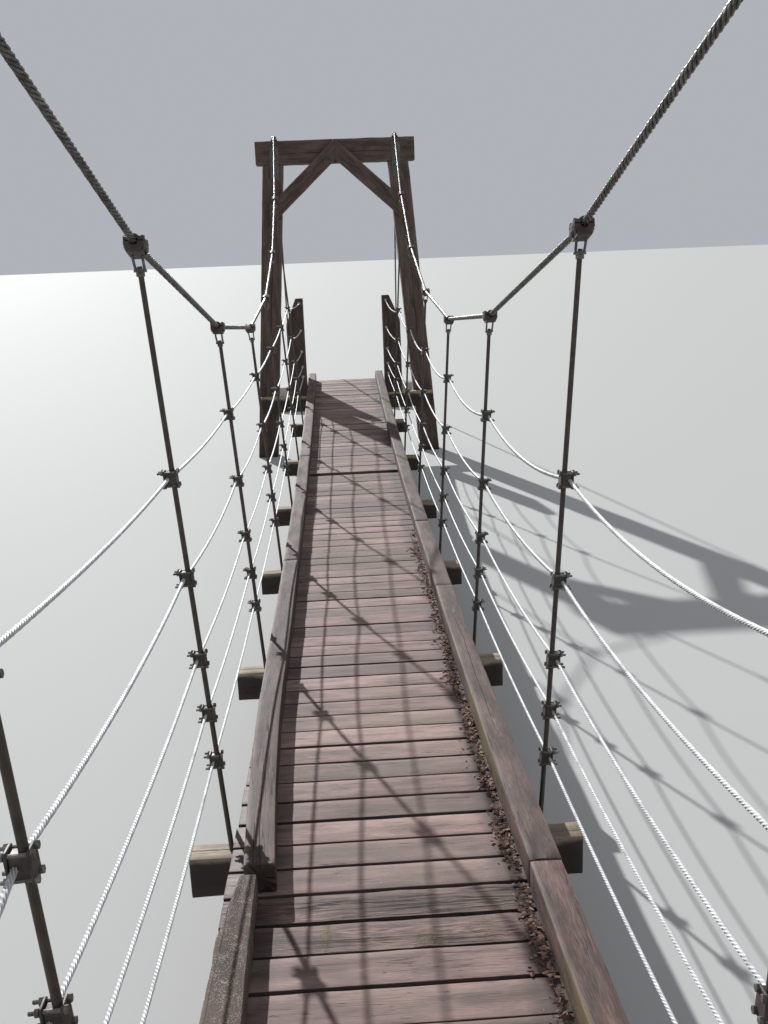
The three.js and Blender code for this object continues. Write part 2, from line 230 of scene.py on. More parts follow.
def addTimber(stock, line, across, upward, size, look, rng):
    # a sawn timber swept along its line; look holds what is its own, such as its edge, step, loss,
    # rough, pith, age and checks
    capShare = 0.55           # the size of the ring inside each cut end
    line = np.asarray(line, float)
    across = np.asarray(across, float)
    upward = np.asarray(upward, float)
    if np.dot(np.cross(across, upward), line[-1] - line[0]) < 0:
        line = line[::-1]
    edge = look["edge"]
    checks = look.get("checks", ())
    ring = sawnRing(*size, edge, look["spacing"], checks)
    length = lineLength(line)
    count = max(2, round(length / look["step"]))
    marks = np.concatenate([[0], np.linspace(edge, length - edge, count), [length]])
    centres = evenLine(line, marks)
    shift = np.array([rng.uniform(-40, 40), rng.uniform(-40, 40), rng.uniform(-40, 40)])
    pith = look.get("pith", (rng.uniform(-0.06, 0.06), -rng.uniform(0.02, 0.11)))
    tone = look.get("tone", rng.random())
    ageOf = look["age"]
    m = len(ring)
    rows, grains, wearAndShadeRows, ages = [], [], [], []
    for k, (mark, centre) in enumerate(zip(marks, centres)):
        u = ring[:, 0].copy()
        v = ring[:, 1].copy()
        seat = np.stack([np.full(m, mark), u, v], axis=1) + shift
        inwards = look["loss"] * ring[:, 6] * (0.5 + ripple(seat, look.get("lossGrain", 9.0)))
        inwards += look["rough"] * ripple(seat * (1, 3, 3), 14.0, 5.0)
        if k in (0, len(marks) - 1):
            inwards += edge * 0.8
        for number, check in enumerate(checks):
            mine = ring[:, 7] == number
            opened = check["depth"] * held((mark - check["from"]) / check["fade"] + 0.02)
            opened *= held((check["to"] - mark) / check["fade"] + 0.02)
            opened *= 0.75 + 0.5 * noise.noise((mark * 6, number, tone * 9))
            drift = check["drift"] * noise.noise((mark * 2.5, number * 3.1, tone * 7))
            inwards += np.where(mine, ring[:, 8] * opened, 0)
            u += np.where(mine, ring[:, 4] * drift, 0)
            v += np.where(mine, ring[:, 5] * drift, 0)
        # a rounded edge never wears past the centre of its round
        inwards = np.where(ring[:, 6] > 0, np.minimum(inwards, edge * 0.9), inwards)
        u += ring[:, 2] * inwards
        v += ring[:, 3] * inwards
        if "narrow" in look:
            lowU, highU = look["narrow"](mark)
            u = lowU + (u / size[0] + 0.5) * (highU - lowU)
        v += look.get("cup", 0.0) * (u / size[0] * 2) ** 2
        points = centre + np.outer(u, across) + np.outer(v, upward)
        if k < 3 and "ragged" in look:
            along = (centres[1] - centres[0]) / np.linalg.norm(centres[1] - centres[0])
            torn = ripple(np.stack([u, v, v * 0], axis=1), 120.0, shift[0])
            points += np.outer(look["ragged"] * torn, along)
        rows.append(points)
        grains.append(np.stack([np.full(m, mark), u + pith[0], v + pith[1]], axis=1))
        # points on a rounded edge are 1 and painted paler, as wear; a check's bottom is -1 and is painted
        # near-black, as painted shade in the check
        edgeWearAndShade = ring[:, 6] + np.where(ring[:, 8] > 0, -1.0, 0.0)
        # the sides and underside of a board are painted dark: painted shade in the gaps between boards
        if "paintedGapShade" in look:
            edgeWearAndShade = np.where(ring[:, 1] < size[1] / 2 - edge * 0.8, -look["paintedGapShade"], edgeWearAndShade)
        wearAndShadeRows.append(edgeWearAndShade)
        ages.append([ageOf(mark, a, b) for a, b in zip(u, v)] if callable(ageOf) else [ageOf] * m)

    faces = skinFaces(len(marks), m)
    extra = 0
    base = len(marks) * m
    for k, order in ((0, -1), (len(marks) - 1, 1)):
        outer = rows[k]
        centre = outer.mean(axis=0)
        inner = centre + (outer - centre) * capShare
        rows += [inner, centre[None]]
        middle = grains[k].mean(axis=0)
        grains += [middle + (grains[k] - middle) * capShare, middle[None]]
        wearAndShadeRows += [np.full(m, 0.2), np.zeros(1)]
        ages += [ages[k], [ages[k][0]]]
        for i in range(m):
            j = (i + 1) % m
            quad = (k * m + i, k * m + j, base + j, base + i)
            wedge = (base + i, base + j, base + m)
            faces.append(quad if order > 0 else quad[::-1])
            faces.append(wedge if order > 0 else wedge[::-1])
            extra += 2
        base += m + 1
    grain = np.concatenate(grains) + (shift[0], 0, 0)
    age = np.concatenate([np.asarray(a, float).reshape(-1, 3) for a in ages])
    stock.add(np.concatenate(rows), faces, grain, age, np.concatenate(wearAndShadeRows), tone, extra)


def sideways(tangent):
    # two unit vectors square to a direction
    hint = xWay if abs(tangent.x) < 0.9 else yWay
    first = tangent.cross(hint).normalized()
    return first, tangent.cross(first).normalized()


def addTube(stock, path, radius, around):
    # a round bar bent along a path
    path = [Vector(p) for p in path]
    points = []
    first = sideways((path[1] - path[0]).normalized())[0]
    for k, spot in enumerate(path):
        tangent = (path[min(k + 1, len(path) - 1)] - path[max(k - 1, 0)]).normalized()
        first = (first - tangent * first.dot(tangent)).normalized()
        second = tangent.cross(first)
        for i in range(around):
            turn = 2 * math.pi * i / around
            points.append(spot + radius * (math.cos(turn) * first + math.sin(turn) * second))
    stock.add(points, closedFaces(len(path), around))


def addTurned(stock, base, axis, profile, around):
    # rings of (radius, height) round an axis; six around makes a nut
    axis = Vector(axis).normalized()
    first, second = sideways(axis)
    points = []
    for radius, height in profile:
        for i in range(around):
            turn = 2 * math.pi * i / around
            spoke = math.cos(turn) * first + math.sin(turn) * second
            points.append(Vector(base) + axis * height + radius * spoke)
    stock.add(points, closedFaces(len(profile), around))


def addPlate(stock, outline, origin, a, b, thick, edge):
    # a plate cut to an outline of (a, b) points, anticlockwise, with broken edges; it grows along a x b
    a = Vector(a).normalized()
    b = Vector(b).normalized()
    out = a.cross(b)
    outline = np.asarray(outline, float)
    way = np.roll(outline, -1, axis=0) - np.roll(outline, 1, axis=0)
    way /= np.linalg.norm(way, axis=1)[:, None]
    inset = np.stack([-way[:, 1], way[:, 0]], axis=1) * edge
    points = []
    for shift, height in ((1, 0), (0, edge), (0, thick - edge), (1, thick)):
        for p, q in outline + inset * shift:
            points.append(Vector(origin) + a * p + b * q + out * height)
    stock.add(points, closedFaces(4, len(outline)))


def roundedBox(width, height, radius):
    # the outline of a plate with round corners, anticlockwise
    steps = 3
    outline = []
    for signA, signB, start in ((1, 1, 0), (-1, 1, 90), (-1, -1, 180), (1, -1, 270)):
        for k in range(steps + 1):
            turn = math.radians(start + 90 * k / steps)
            outline.append((signA * (width / 2 - radius) + radius * math.cos(turn),
                            signB * (height / 2 - radius) + radius * math.sin(turn)))
    return outline


def addRope(stock, line, rope, phase):
    # strands laid round a core: a lobed section that turns once in each lay
    strandShare = 0.36        # a strand's radius against the rope's
    length = lineLength(line)
    count = round(length / rope["lay"] * rope["steps"])
    marks = np.linspace(0, length, count + 1)
    centres = evenLine(line, marks)
    tangents = np.gradient(centres, axis=0)
    tangents /= np.linalg.norm(tangents, axis=1)[:, None]
    first = np.cross(tangents, (0, 0, 1.0))
    first /= np.linalg.norm(first, axis=1)[:, None]
    second = np.cross(first, tangents)
    around = rope["strands"] * rope["perStrand"]
    spread = 2 * np.pi / rope["strands"]
    strandR = rope["radius"] * strandShare
    centreR = rope["radius"] * (1 - strandShare)
    angles = np.arange(around) * 2 * np.pi / around
    offset = (angles + spread / 2) % spread - spread / 2
    lobe = centreR * np.cos(offset) + np.sqrt(np.maximum(strandR ** 2 - (centreR * np.sin(offset)) ** 2, 0))
    # valley runs from 0 on a strand's crest to 1 in the hollow between strands; the steel finish paints
    # these hollows dark as painted shade
    valley = 1 - np.cos(offset / spread * 2 * np.pi) * 0.5 - 0.5
    turn = angles[None] + 2 * np.pi * marks[:, None] / rope["lay"] + phase
    points = centres[:, None] + lobe[None, :, None] * (
        np.cos(turn)[..., None] * first[:, None] + np.sin(turn)[..., None] * second[:, None])
    k = np.arange(count)[:, None] * around
    i = np.arange(around)[None]
    j = (i + 1) % around
    quads = np.stack([k + i, k + around + i, k + around + j, k + j], axis=2).reshape(-1, 4).tolist()
    faces = [tuple(range(around))] + quads + [tuple(count * around + n for n in reversed(range(around)))]
    stock.add(points.reshape(-1, 3), faces, worn=np.tile(valley, count + 1))


# node trees
def makeNode(tree, kind, inputs=None, **settings):
    made = tree.nodes.new("ShaderNode" + kind)
    for key, value in settings.items():
        setattr(made, key, value)
    for key, value in (inputs or {}).items():
        feed(tree, made.inputs[key], value)
    return made


def feed(tree, socket, value):
    if isinstance(value, bpy.types.NodeSocket):
        tree.links.new(value, socket)
    elif isinstance(value, bpy.types.Node):
        tree.links.new(value.outputs[0], socket)
    elif socket.type == "RGBA":
        socket.default_value = (*value, 1)
    else:
        socket.default_value = value


def sums(tree, way, a, b=0.0, clamp=False):
    made = makeNode(tree, "Math", {0: a, 1: b}, operation=way, use_clamp=clamp)
    return made.outputs[0]


def blendColour(tree, share, a, b):
    return makeNode(tree, "Mix", {0: share, 6: a, 7: b}, data_type="RGBA").outputs[2]


def tint(tree, mask, strength, under, colour):
    return blendColour(tree, sums(tree, "MULTIPLY", mask, strength), under, colour)


def scaled(tree, vector, amount):
    return makeNode(tree, "VectorMath", {0: vector, "Scale": amount}, operation="SCALE").outputs[0]


def blendValue(tree, share, a, b):
    return makeNode(tree, "Mix", {0: share, 2: a, 3: b}, data_type="FLOAT").outputs[0]


def fade(tree, value, low, high, start=0.0, end=1.0):
    made = makeNode(tree, "MapRange", {0: value, 1: low, 2: high, 3: start, 4: end},
                    interpolation_type="SMOOTHSTEP")
    return made.outputs[0]


def stretched(tree, vector, scale):
    return makeNode(tree, "VectorMath", {0: vector, 1: scale}, operation="MULTIPLY").outputs[0]


def speckle(tree, vector, scale, detail, rough=0.55):
    made = makeNode(tree, "TexNoise", {"Vector": vector, "Scale": scale, "Detail": detail,
                                       "Roughness": rough})
    return made.outputs[0]


def readNote(tree, name, output="Fac"):
    return makeNode(tree, "Attribute", attribute_name=name).outputs[output]


def addBump(tree, shader, height, strength, distance):
    bump = makeNode(tree, "Bump", {"Height": height, "Strength": strength, "Distance": distance})
    feed(tree, shader.inputs["Normal"], bump)


def openGroup(name, inputs, outputs):
    # an input without a value is a vector
    tree = bpy.data.node_groups.new(name, "ShaderNodeTree")
    for label, value in inputs.items():
        kind = "NodeSocketVector" if value is None else "NodeSocketFloat"
        socket = tree.interface.new_socket(label, in_out="INPUT", socket_type=kind)
        if value is not None:
            socket.default_value = value
    for label in outputs:
        tree.interface.new_socket(label, in_out="OUTPUT", socket_type="NodeSocketFloat")
    return tree, tree.nodes.new("NodeGroupInput").outputs


def closeGroup(tree, results):
    end = tree.nodes.new("NodeGroupOutput")
    for label, value in results.items():
        feed(tree, end.inputs[label], value)
    return tree


def makeWoodFigure():
    # growth rings round the pith, fibres along the length and knots
    tree, start = openGroup("wood figure", {
        "Grain": None, "Ring Width": 0.006, "Wander": 0.012, "Fibre Size": 0.0022,
    }, ("Rings", "Fibre", "Knot", "Mottle", "Specks"))
    grain = start["Grain"]
    slow = makeNode(tree, "TexNoise", {"Vector": stretched(tree, grain, (1.3, 6.0, 6.0)), "Scale": 1.0,
                                       "Detail": 3.0})
    centred = makeNode(tree, "VectorMath", {0: slow.outputs["Color"], 1: (0.5, 0.5, 0.5)},
                       operation="SUBTRACT")
    pushed = scaled(tree, centred, sums(tree, "MULTIPLY", start["Wander"], 6.0))
    moved = makeNode(tree, "VectorMath", {0: grain, 1: pushed}, operation="ADD").outputs[0]

    cells = makeNode(tree, "TexVoronoi", {"Vector": stretched(tree, grain, (1.5, 7.0, 7.0)), "Scale": 1.0})
    knot = fade(tree, cells.outputs["Distance"], 0.16, 0.05)
    apart = makeNode(tree, "SeparateXYZ", {0: moved})
    flat = makeNode(tree, "CombineXYZ", {0: 0.0, 1: apart.outputs[1], 2: apart.outputs[2]})
    reach = makeNode(tree, "VectorMath", {0: flat}, operation="LENGTH").outputs["Value"]
    bent = sums(tree, "ADD", reach, sums(tree, "MULTIPLY", knot, 0.012))
    turns = sums(tree, "DIVIDE", bent, start["Ring Width"])

    thread = scaled(tree, stretched(tree, moved, (0.035, 1.0, 1.0)),
                    sums(tree, "DIVIDE", 1.0, start["Fibre Size"]))
    dents = speckle(tree, stretched(tree, grain, (34.0, 150.0, 150.0)), 1.0, 2.0, 0.5)
    return closeGroup(tree, {
        "Rings": sums(tree, "POWER", sums(tree, "FRACT", turns), 2.6),
        "Fibre": speckle(tree, thread, 1.0, 3.0, 0.6),
        "Knot": knot,
        "Mottle": speckle(tree, stretched(tree, grain, (4.0, 17.0, 17.0)), 1.0, 5.0, 0.62),
        "Specks": fade(tree, dents, 0.685, 0.75),
    })


def makeTimberAge():
    # what weather does: drying cracks, grey patches, moss, lichen specks and damp dirt; the damp output
    # also carries painted shade where an age asks for it
    tree, start = openGroup("timber age", {
        "Grain": None, "Place": None, "Moss": 0.0, "Grey": 0.0, "Dirt": 0.0, "Crack Width": 0.02,
    }, ("Cracks", "Grey Patches", "Moss Cover", "Lichen", "DampAndShade"))
    grain = start["Grain"]
    place = start["Place"]
    lines = speckle(tree, stretched(tree, grain, (1.6, 55.0, 55.0)), 1.0, 3.0, 0.5)
    distance = sums(tree, "ABSOLUTE", sums(tree, "SUBTRACT", lines, 0.5))
    opened = fade(tree, distance, start["Crack Width"], 0.0)
    patchy = fade(tree, speckle(tree, stretched(tree, grain, (1.2, 9.0, 9.0)), 1.7, 2.0), 0.47, 0.62)
    broad = speckle(tree, stretched(tree, grain, (2.2, 11.0, 11.0)), 1.0, 5.0, 0.6)
    tufts = sums(tree, "ADD", sums(tree, "MULTIPLY", speckle(tree, place, 7.0, 2.0), 0.6),
                 sums(tree, "MULTIPLY", speckle(tree, place, 160.0, 3.0, 0.7), 0.4))

    bent = makeNode(tree, "TexNoise", {"Vector": place, "Scale": 220.0, "Detail": 2.0})
    nudge = scaled(tree, bent.outputs["Color"], 0.006)
    patchSpot = makeNode(tree, "VectorMath", {0: place, 1: nudge}, operation="ADD")
    spots = makeNode(tree, "TexVoronoi", {"Vector": patchSpot, "Scale": 235.0, "Randomness": 1.0})
    size = sums(tree, "MULTIPLY", speckle(tree, place, 26.0, 3.0),
                sums(tree, "MULTIPLY", start["Grey"], 1.35))
    cloud = speckle(tree, place, 4.5, 5.0, 0.6)
    return closeGroup(tree, {
        "Cracks": sums(tree, "MULTIPLY", opened, patchy),
        "Grey Patches": fade(tree, sums(tree, "ADD", broad, start["Grey"]), 0.62, 1.0),
        "Moss Cover": fade(tree, sums(tree, "ADD", tufts, start["Moss"]), 0.86, 1.08),
        "Lichen": fade(tree, sums(tree, "SUBTRACT", size, spots.outputs["Distance"]), 0.0, 0.12),
        "DampAndShade": fade(tree, sums(tree, "ADD", cloud, start["Dirt"]), 0.66, 1.05),
    })


def makeMetalAge():
    # tarnish, rust blooms and grime on steel
    tree, start = openGroup("metal age", {"Place": None, "Rust": 0.2, "Grime": 0.3},
                            ("Tarnish", "Rust Cover", "Grime Cover", "Pitting"))
    place = start["Place"]
    bloom = sums(tree, "ADD", speckle(tree, place, 60.0, 5.0, 0.65), start["Rust"])
    film = sums(tree, "ADD", speckle(tree, place, 14.0, 4.0, 0.6), start["Grime"])
    return closeGroup(tree, {
        "Tarnish": speckle(tree, place, 38.0, 4.0, 0.6),
        "Rust Cover": fade(tree, bloom, 0.70, 0.95),
        "Grime Cover": fade(tree, film, 0.60, 1.0),
        "Pitting": speckle(tree, place, 900.0, 2.0, 0.7),
    })


woodFigure = makeWoodFigure()
timberAge = makeTimberAge()
metalAge = makeMetalAge()


def openMaterial(name, **constants):
    material = bpy.data.materials.new(name)
    material.use_nodes = True
    tree = material.node_tree
    shader = tree.nodes["Principled BSDF"]
    for label, value in constants.items():
        shader.inputs[label.replace("_", " ")].default_value = value
    return material, tree, shader


def useGroup(tree, group, **values):
    made = tree.nodes.new("ShaderNodeGroup")
    made.node_tree = group
    for label, value in values.items():
        feed(tree, made.inputs[label.replace("_", " ")], value)
    return made.outputs


def makeWood(name, finish):
    material, tree, shader = openMaterial(name, Specular_IOR_Level=0.32)
    grain = readNote(tree, "grain", "Vector")
    worn = readNote(tree, "worn")
    age = makeNode(tree, "SeparateXYZ", {0: readNote(tree, "age", "Vector")})
    place = makeNode(tree, "TexCoord").outputs["Object"]
    figure = useGroup(tree, woodFigure, Grain=grain, Ring_Width=finish["ring"], Fibre_Size=finish["fibre"])
    weather = useGroup(tree, timberAge, Grain=grain, Place=place, Moss=age.outputs[0], Grey=age.outputs[1],
                       Dirt=age.outputs[2], Crack_Width=finish["crack"])

    colour = blendColour(tree, readNote(tree, "tone"), finish["dark"], finish["pale"])
    colour = tint(tree, figure["Rings"], finish["ringShare"], colour, finish["late"])
    streak = fade(tree, figure["Fibre"], 0.30, 0.72, 1 - finish["streak"], 1 + finish["streak"])
    cloudy = fade(tree, figure["Mottle"], 0.30, 0.70, 1 - finish["mottle"], 1 + finish["mottle"])
    colour = scaled(tree, colour, sums(tree, "MULTIPLY", streak, cloudy))
    for mask, strength, label in (
            (figure["Knot"], 0.7, "knot"),
            (figure["Specks"], finish["specks"], "knot"),
            (readNote(tree, "cutEnd"), 0.75, "endColour"),
            (weather["Grey Patches"], finish["greyShare"], "grey"),
            (sums(tree, "MAXIMUM", worn, 0.0), finish["edgeShare"], "edgeColour"),
            (weather["DampAndShade"], finish["dampAndShadeShare"], "dampAndShade"),
            (weather["Moss Cover"], 0.85, "moss"),
            (weather["Lichen"], finish["lichenShare"], "lichen")):
        colour = tint(tree, mask, strength, colour, finish[label])
    # cracks, check bottoms and the sides of boards are painted near-black: painted shade in the cracks and
    # gaps
    deep = sums(tree, "MAXIMUM", sums(tree, "MULTIPLY", weather["Cracks"], 0.85),
                sums(tree, "MULTIPLY", worn, -0.95), clamp=True)
    feed(tree, shader.inputs["Base Color"], blendColour(tree, deep, colour, (0.012, 0.009, 0.008)))

    rough = blendValue(tree, weather["Grey Patches"], finish["roughness"], 0.92)
    rough = blendValue(tree, weather["DampAndShade"], rough, finish["roughness"] - 0.08)
    feed(tree, shader.inputs["Roughness"], rough)
    height = sums(tree, "MULTIPLY", figure["Fibre"], 0.5)
    for mask, rise in ((figure["Rings"], 0.3), (weather["Cracks"], -1.6), (weather["Moss Cover"], 0.7),
                       (weather["Lichen"], 0.3)):
        height = sums(tree, "ADD", height, sums(tree, "MULTIPLY", mask, rise))
    addBump(tree, shader, height, 0.9, finish["bump"])
    return material


def makeSteel(name, finish):
    material, tree, shader = openMaterial(name, Specular_IOR_Level=0.5)
    place = makeNode(tree, "TexCoord").outputs["Object"]
    age = useGroup(tree, metalAge, Place=place, Rust=finish["rust"], Grime=finish["grime"])
    # the hollows between a rope's strands are painted near-black, as painted shade
    valley = sums(tree, "MAXIMUM", readNote(tree, "worn"), 0.0)
    metal = blendColour(tree, fade(tree, age["Tarnish"], 0.3, 0.7), finish["dull"], finish["bright"])
    grimy = tint(tree, age["Grime Cover"], 0.7, metal, finish["dirt"])
    strands = tint(tree, valley, finish["valley"], grimy, (0.02, 0.018, 0.016))
    rusty = blendColour(tree, age["Rust Cover"], strands, finish["rustColour"])
    feed(tree, shader.inputs["Base Color"], rusty)
    cover = sums(tree, "MAXIMUM", age["Rust Cover"], sums(tree, "MULTIPLY", age["Grime Cover"], 0.5))
    feed(tree, shader.inputs["Metallic"], sums(tree, "SUBTRACT", finish["metal"], cover, clamp=True))
    feed(tree, shader.inputs["Roughness"], blendValue(tree, cover, finish["roughness"], 0.85))
    addBump(tree, shader, age["Pitting"], 0.5, 0.0006)
    return material


def makeConcrete(name):
    material, tree, shader = openMaterial(name, Specular_IOR_Level=0.25)
    place = makeNode(tree, "TexCoord").outputs["Object"]
    cloud = speckle(tree, place, 5.0, 6.0, 0.6)
    sand = speckle(tree, place, 240.0, 3.0, 0.7)
    pores = makeNode(tree, "TexVoronoi", {"Vector": place, "Scale": 70.0})
    hole = fade(tree, pores.outputs["Distance"], 0.16, 0.10)
    high = makeNode(tree, "SeparateXYZ", {0: place}).outputs[2]
    splash = fade(tree, sums(tree, "ADD", high, sums(tree, "MULTIPLY", cloud, -0.25)), 0.05, -0.08)
    colour = blendColour(tree, fade(tree, cloud, 0.35, 0.65), (0.26, 0.25, 0.22), (0.42, 0.41, 0.37))
    for mask, strength, over in (
            (fade(tree, sand, 0.4, 0.7), 0.35, (0.48, 0.46, 0.41)),
            (splash, 0.8, (0.13, 0.10, 0.07)),
            (readNote(tree, "worn"), 0.25, (0.5, 0.48, 0.44)),
            (hole, 0.7, (0.08, 0.075, 0.065))):
        colour = tint(tree, mask, strength, colour, over)
    feed(tree, shader.inputs["Base Color"], colour)
    feed(tree, shader.inputs["Roughness"], fade(tree, sand, 0.3, 0.8, 0.82, 0.96))
    addBump(tree, shader, sums(tree, "SUBTRACT", sums(tree, "MULTIPLY", sand, 0.4), hole), 0.7, 0.0015)
    return material


def makeDirt(name, dark, pale):
    material, tree, shader = openMaterial(name, Roughness=0.9, Specular_IOR_Level=0.2)
    grit = speckle(tree, makeNode(tree, "TexCoord").outputs["Object"], 700.0, 3.0, 0.7)
    base = blendColour(tree, readNote(tree, "tone"), dark, pale)
    feed(tree, shader.inputs["Base Color"], scaled(tree, base, fade(tree, grit, 0.3, 0.7, 0.6, 1.25)))
    addBump(tree, shader, grit, 0.7, 0.001)
    return material


woodBase = {
    "dark": (0.090, 0.057, 0.052),
    "pale": (0.262, 0.172, 0.152),
    "late": (0.070, 0.041, 0.036),
    "knot": (0.028, 0.016, 0.013),
    "endColour": (0.040, 0.027, 0.023),
    "grey": (0.215, 0.186, 0.158),
    "greyShare": 0.60,
    "edgeColour": (0.270, 0.190, 0.165),
    "edgeShare": 0.30,
    "dampAndShade": (0.040, 0.027, 0.024),
    "dampAndShadeShare": 0.65,
    "moss": (0.098, 0.086, 0.028),
    "lichen": (0.34, 0.35, 0.29),
    "lichenShare": 0.5,
    "ring": 0.0065,
    "ringShare": 0.22,
    "fibre": 0.0015,
    "streak": 0.20,
    "mottle": 0.40,
    "specks": 0.75,
    "crack": 0.007,
    "roughness": 0.70,
    "bump": 0.0009,
}
boardWood = makeWood("stained deck boards", woodBase)
brokenWood = makeWood("broken deck boards", {
    **woodBase, "dark": (0.072, 0.043, 0.036), "pale": (0.270, 0.178, 0.150), "late": (0.040, 0.021, 0.016),
    "grey": (0.190, 0.150, 0.132), "greyShare": 0.45, "ringShare": 0.50, "streak": 0.75, "mottle": 0.55,
    "fibre": 0.0024, "crack": 0.035, "specks": 1.0, "bump": 0.0030})
curbWood = makeWood("stained curb timber", {
    **woodBase, "dark": (0.052, 0.031, 0.026), "pale": (0.114, 0.070, 0.058), "late": (0.036, 0.020, 0.016),
    "grey": (0.132, 0.102, 0.093), "greyShare": 0.48, "edgeColour": (0.185, 0.136, 0.112), "streak": 0.40,
    "fibre": 0.0018, "mottle": 0.62, "crack": 0.016, "moss": (0.114, 0.093, 0.036)})
greyWood = makeWood("old grey curb timber", {
    **woodBase, "dark": (0.044, 0.029, 0.024), "pale": (0.092, 0.062, 0.050), "grey": (0.132, 0.103, 0.089),
    "greyShare": 0.42, "lichen": (0.350, 0.318, 0.278), "lichenShare": 0.75, "late": (0.034, 0.022, 0.018),
    "edgeColour": (0.145, 0.108, 0.088), "streak": 0.50, "mottle": 0.75, "crack": 0.026, "bump": 0.0020})
portalWood = makeWood("portal timber", {
    **woodBase, "dark": (0.060, 0.040, 0.034), "pale": (0.118, 0.080, 0.067), "late": (0.034, 0.022, 0.018),
    "grey": (0.150, 0.120, 0.110), "edgeColour": (0.155, 0.115, 0.098), "ring": 0.009, "fibre": 0.0022,
    "streak": 0.24, "crack": 0.016})
# on the cross-beams the damp colour is near-black and laid thick on the faces: painted shade
beamWood = makeWood("cross-beam timber", {
    **woodBase, "dark": (0.175, 0.140, 0.100), "pale": (0.330, 0.270, 0.195), "late": (0.13, 0.095, 0.060),
    "grey": (0.30, 0.26, 0.20), "moss": (0.130, 0.135, 0.045), "endColour": (0.07, 0.054, 0.040),
    "dampAndShade": (0.015, 0.011, 0.009), "dampAndShadeShare": 0.94, "streak": 0.24, "fibre": 0.0018})
darkWood = makeWood("dark stringer timber", {
    **woodBase, "dark": (0.035, 0.024, 0.019), "pale": (0.075, 0.050, 0.038), "grey": (0.11, 0.095, 0.08),
    "greyShare": 0.35})
steelBase = {"grime": 0.25, "valley": 0.0, "metal": 0.85}
ropeSteel = makeSteel("galvanised wire rope", {
    **steelBase, "dull": (0.50, 0.51, 0.52), "bright": (0.72, 0.73, 0.74), "dirt": (0.32, 0.31, 0.28),
    "rustColour": (0.16, 0.085, 0.045), "rust": 0.03, "grime": 0.10, "valley": 0.50, "metal": 0.25,
    "roughness": 0.58})
# the main cable's steel is painted far darker than the rail ropes, as painted shade, with deep painted
# shade between its strands
cableSteel = makeSteel("main cable with painted shade", {
    **steelBase, "dull": (0.105, 0.094, 0.086), "bright": (0.27, 0.255, 0.24),
    "dirt": (0.055, 0.046, 0.040), "rustColour": (0.10, 0.055, 0.034), "rust": 0.10, "grime": 0.22,
    "valley": 0.70, "roughness": 0.36})
fittingSteel = makeSteel("dark clamp steel", {
    **steelBase, "dull": (0.060, 0.052, 0.047), "bright": (0.12, 0.108, 0.10),
    "dirt": (0.040, 0.032, 0.027), "rustColour": (0.085, 0.042, 0.026), "rust": 0.16, "grime": 0.3,
    "metal": 0.7, "roughness": 0.5})
rodSteel = makeSteel("painted hanger rod", {
    **steelBase, "dull": (0.050, 0.040, 0.034), "bright": (0.085, 0.070, 0.060),
    "dirt": (0.036, 0.028, 0.023), "rustColour": (0.075, 0.040, 0.026), "rust": 0.10, "metal": 0.35,
    "roughness": 0.52})
clipSteel = makeSteel("weathered clip bolts", {
    **steelBase, "dull": (0.10, 0.095, 0.09), "bright": (0.28, 0.275, 0.26), "dirt": (0.055, 0.047, 0.04),
    "rustColour": (0.09, 0.046, 0.03), "rust": 0.14, "grime": 0.30, "roughness": 0.40})
boltSteel = makeSteel("galvanised bolts", {
    **steelBase, "dull": (0.30, 0.30, 0.30), "bright": (0.62, 0.62, 0.61), "dirt": (0.14, 0.12, 0.10),
    "rustColour": (0.15, 0.075, 0.04), "rust": 0.14, "grime": 0.2, "roughness": 0.42})
plateSteel = makeSteel("grey strap plate", {
    **steelBase, "dull": (0.066, 0.072, 0.070), "bright": (0.125, 0.136, 0.130),
    "dirt": (0.050, 0.048, 0.040), "rustColour": (0.10, 0.055, 0.034), "rust": 0.12, "metal": 0.35,
    "roughness": 0.55})
castConcrete = makeConcrete("cast concrete")
dryDirt = makeDirt("dry dirt", (0.055, 0.031, 0.023), (0.40, 0.255, 0.200))
print("materials made")


# deck boards
boards = {
    "count": 97,
    "gap": (0.004, 0.0125),
    "wideEvery": 4,           # about one gap in four is wider
    "wider": 0.005,
    "thick": 0.038,
    "ends": (0.005, 0.014),   # how far a board stops short of the widest
    "liftWander": 0.0018,
    "cup": (-0.0012, 0.0016),
    "bend": (-0.0015, 0.0015),
    "wideJoint": 64,          # the board past the wide joint, counted from the near end
    "wideGap": 0.034,
    "proud": 0.011,
    "mossy": {18: 0.10, 19: 0.10, 20: 0.08, 21: 0.14, 50: 0.14, 78: 0.16},
    "clumps": {                                  # tufts of moss: where along the board, how long, how thick
        19: ((-0.190, 0.022, 0.46), (0.045, 0.040, 0.32), (0.110, 0.025, 0.24), (0.215, 0.065, 0.36)),
        20: ((0.255, 0.065, 0.34), (0.150, 0.025, 0.22)),
    },
    "rough": {19: 0.9, 20: 1.0, 41: 0.3, 57: 0.3},
    "broken": (19, 20),                          # boards whose face has opened along the grain
    "tones": {19: 0.25, 20: 0.20, 24: 0.22, 33: 0.12},   # the boards that are darker than the rest
    "toneSpread": (0.52, 0.34),
    "greySpread": (0.0, 0.34),
    "step": (0.062, 0.015),   # between stations along a board, and along a broken one
    "lossBy": (0.0016, 0.002),      # worn off the edges, and what a rough board loses as well
    "roughBy": (0.0006, 0.0016),
    # the last entry of the look paints each board's sides dark, as painted shade in the gaps
    "look": {"edge": 0.0028, "spacing": 0.022, "paintedGapShade": 0.72},
    "dirt": {"right": (0.345, 0.09), "left": (-0.350, 0.05)},   # middle and half width of each strip
    # past this, board ends are painted dark as painted shade
    "shadedOutside": 0.44,
    "trodden": 0.30,
}


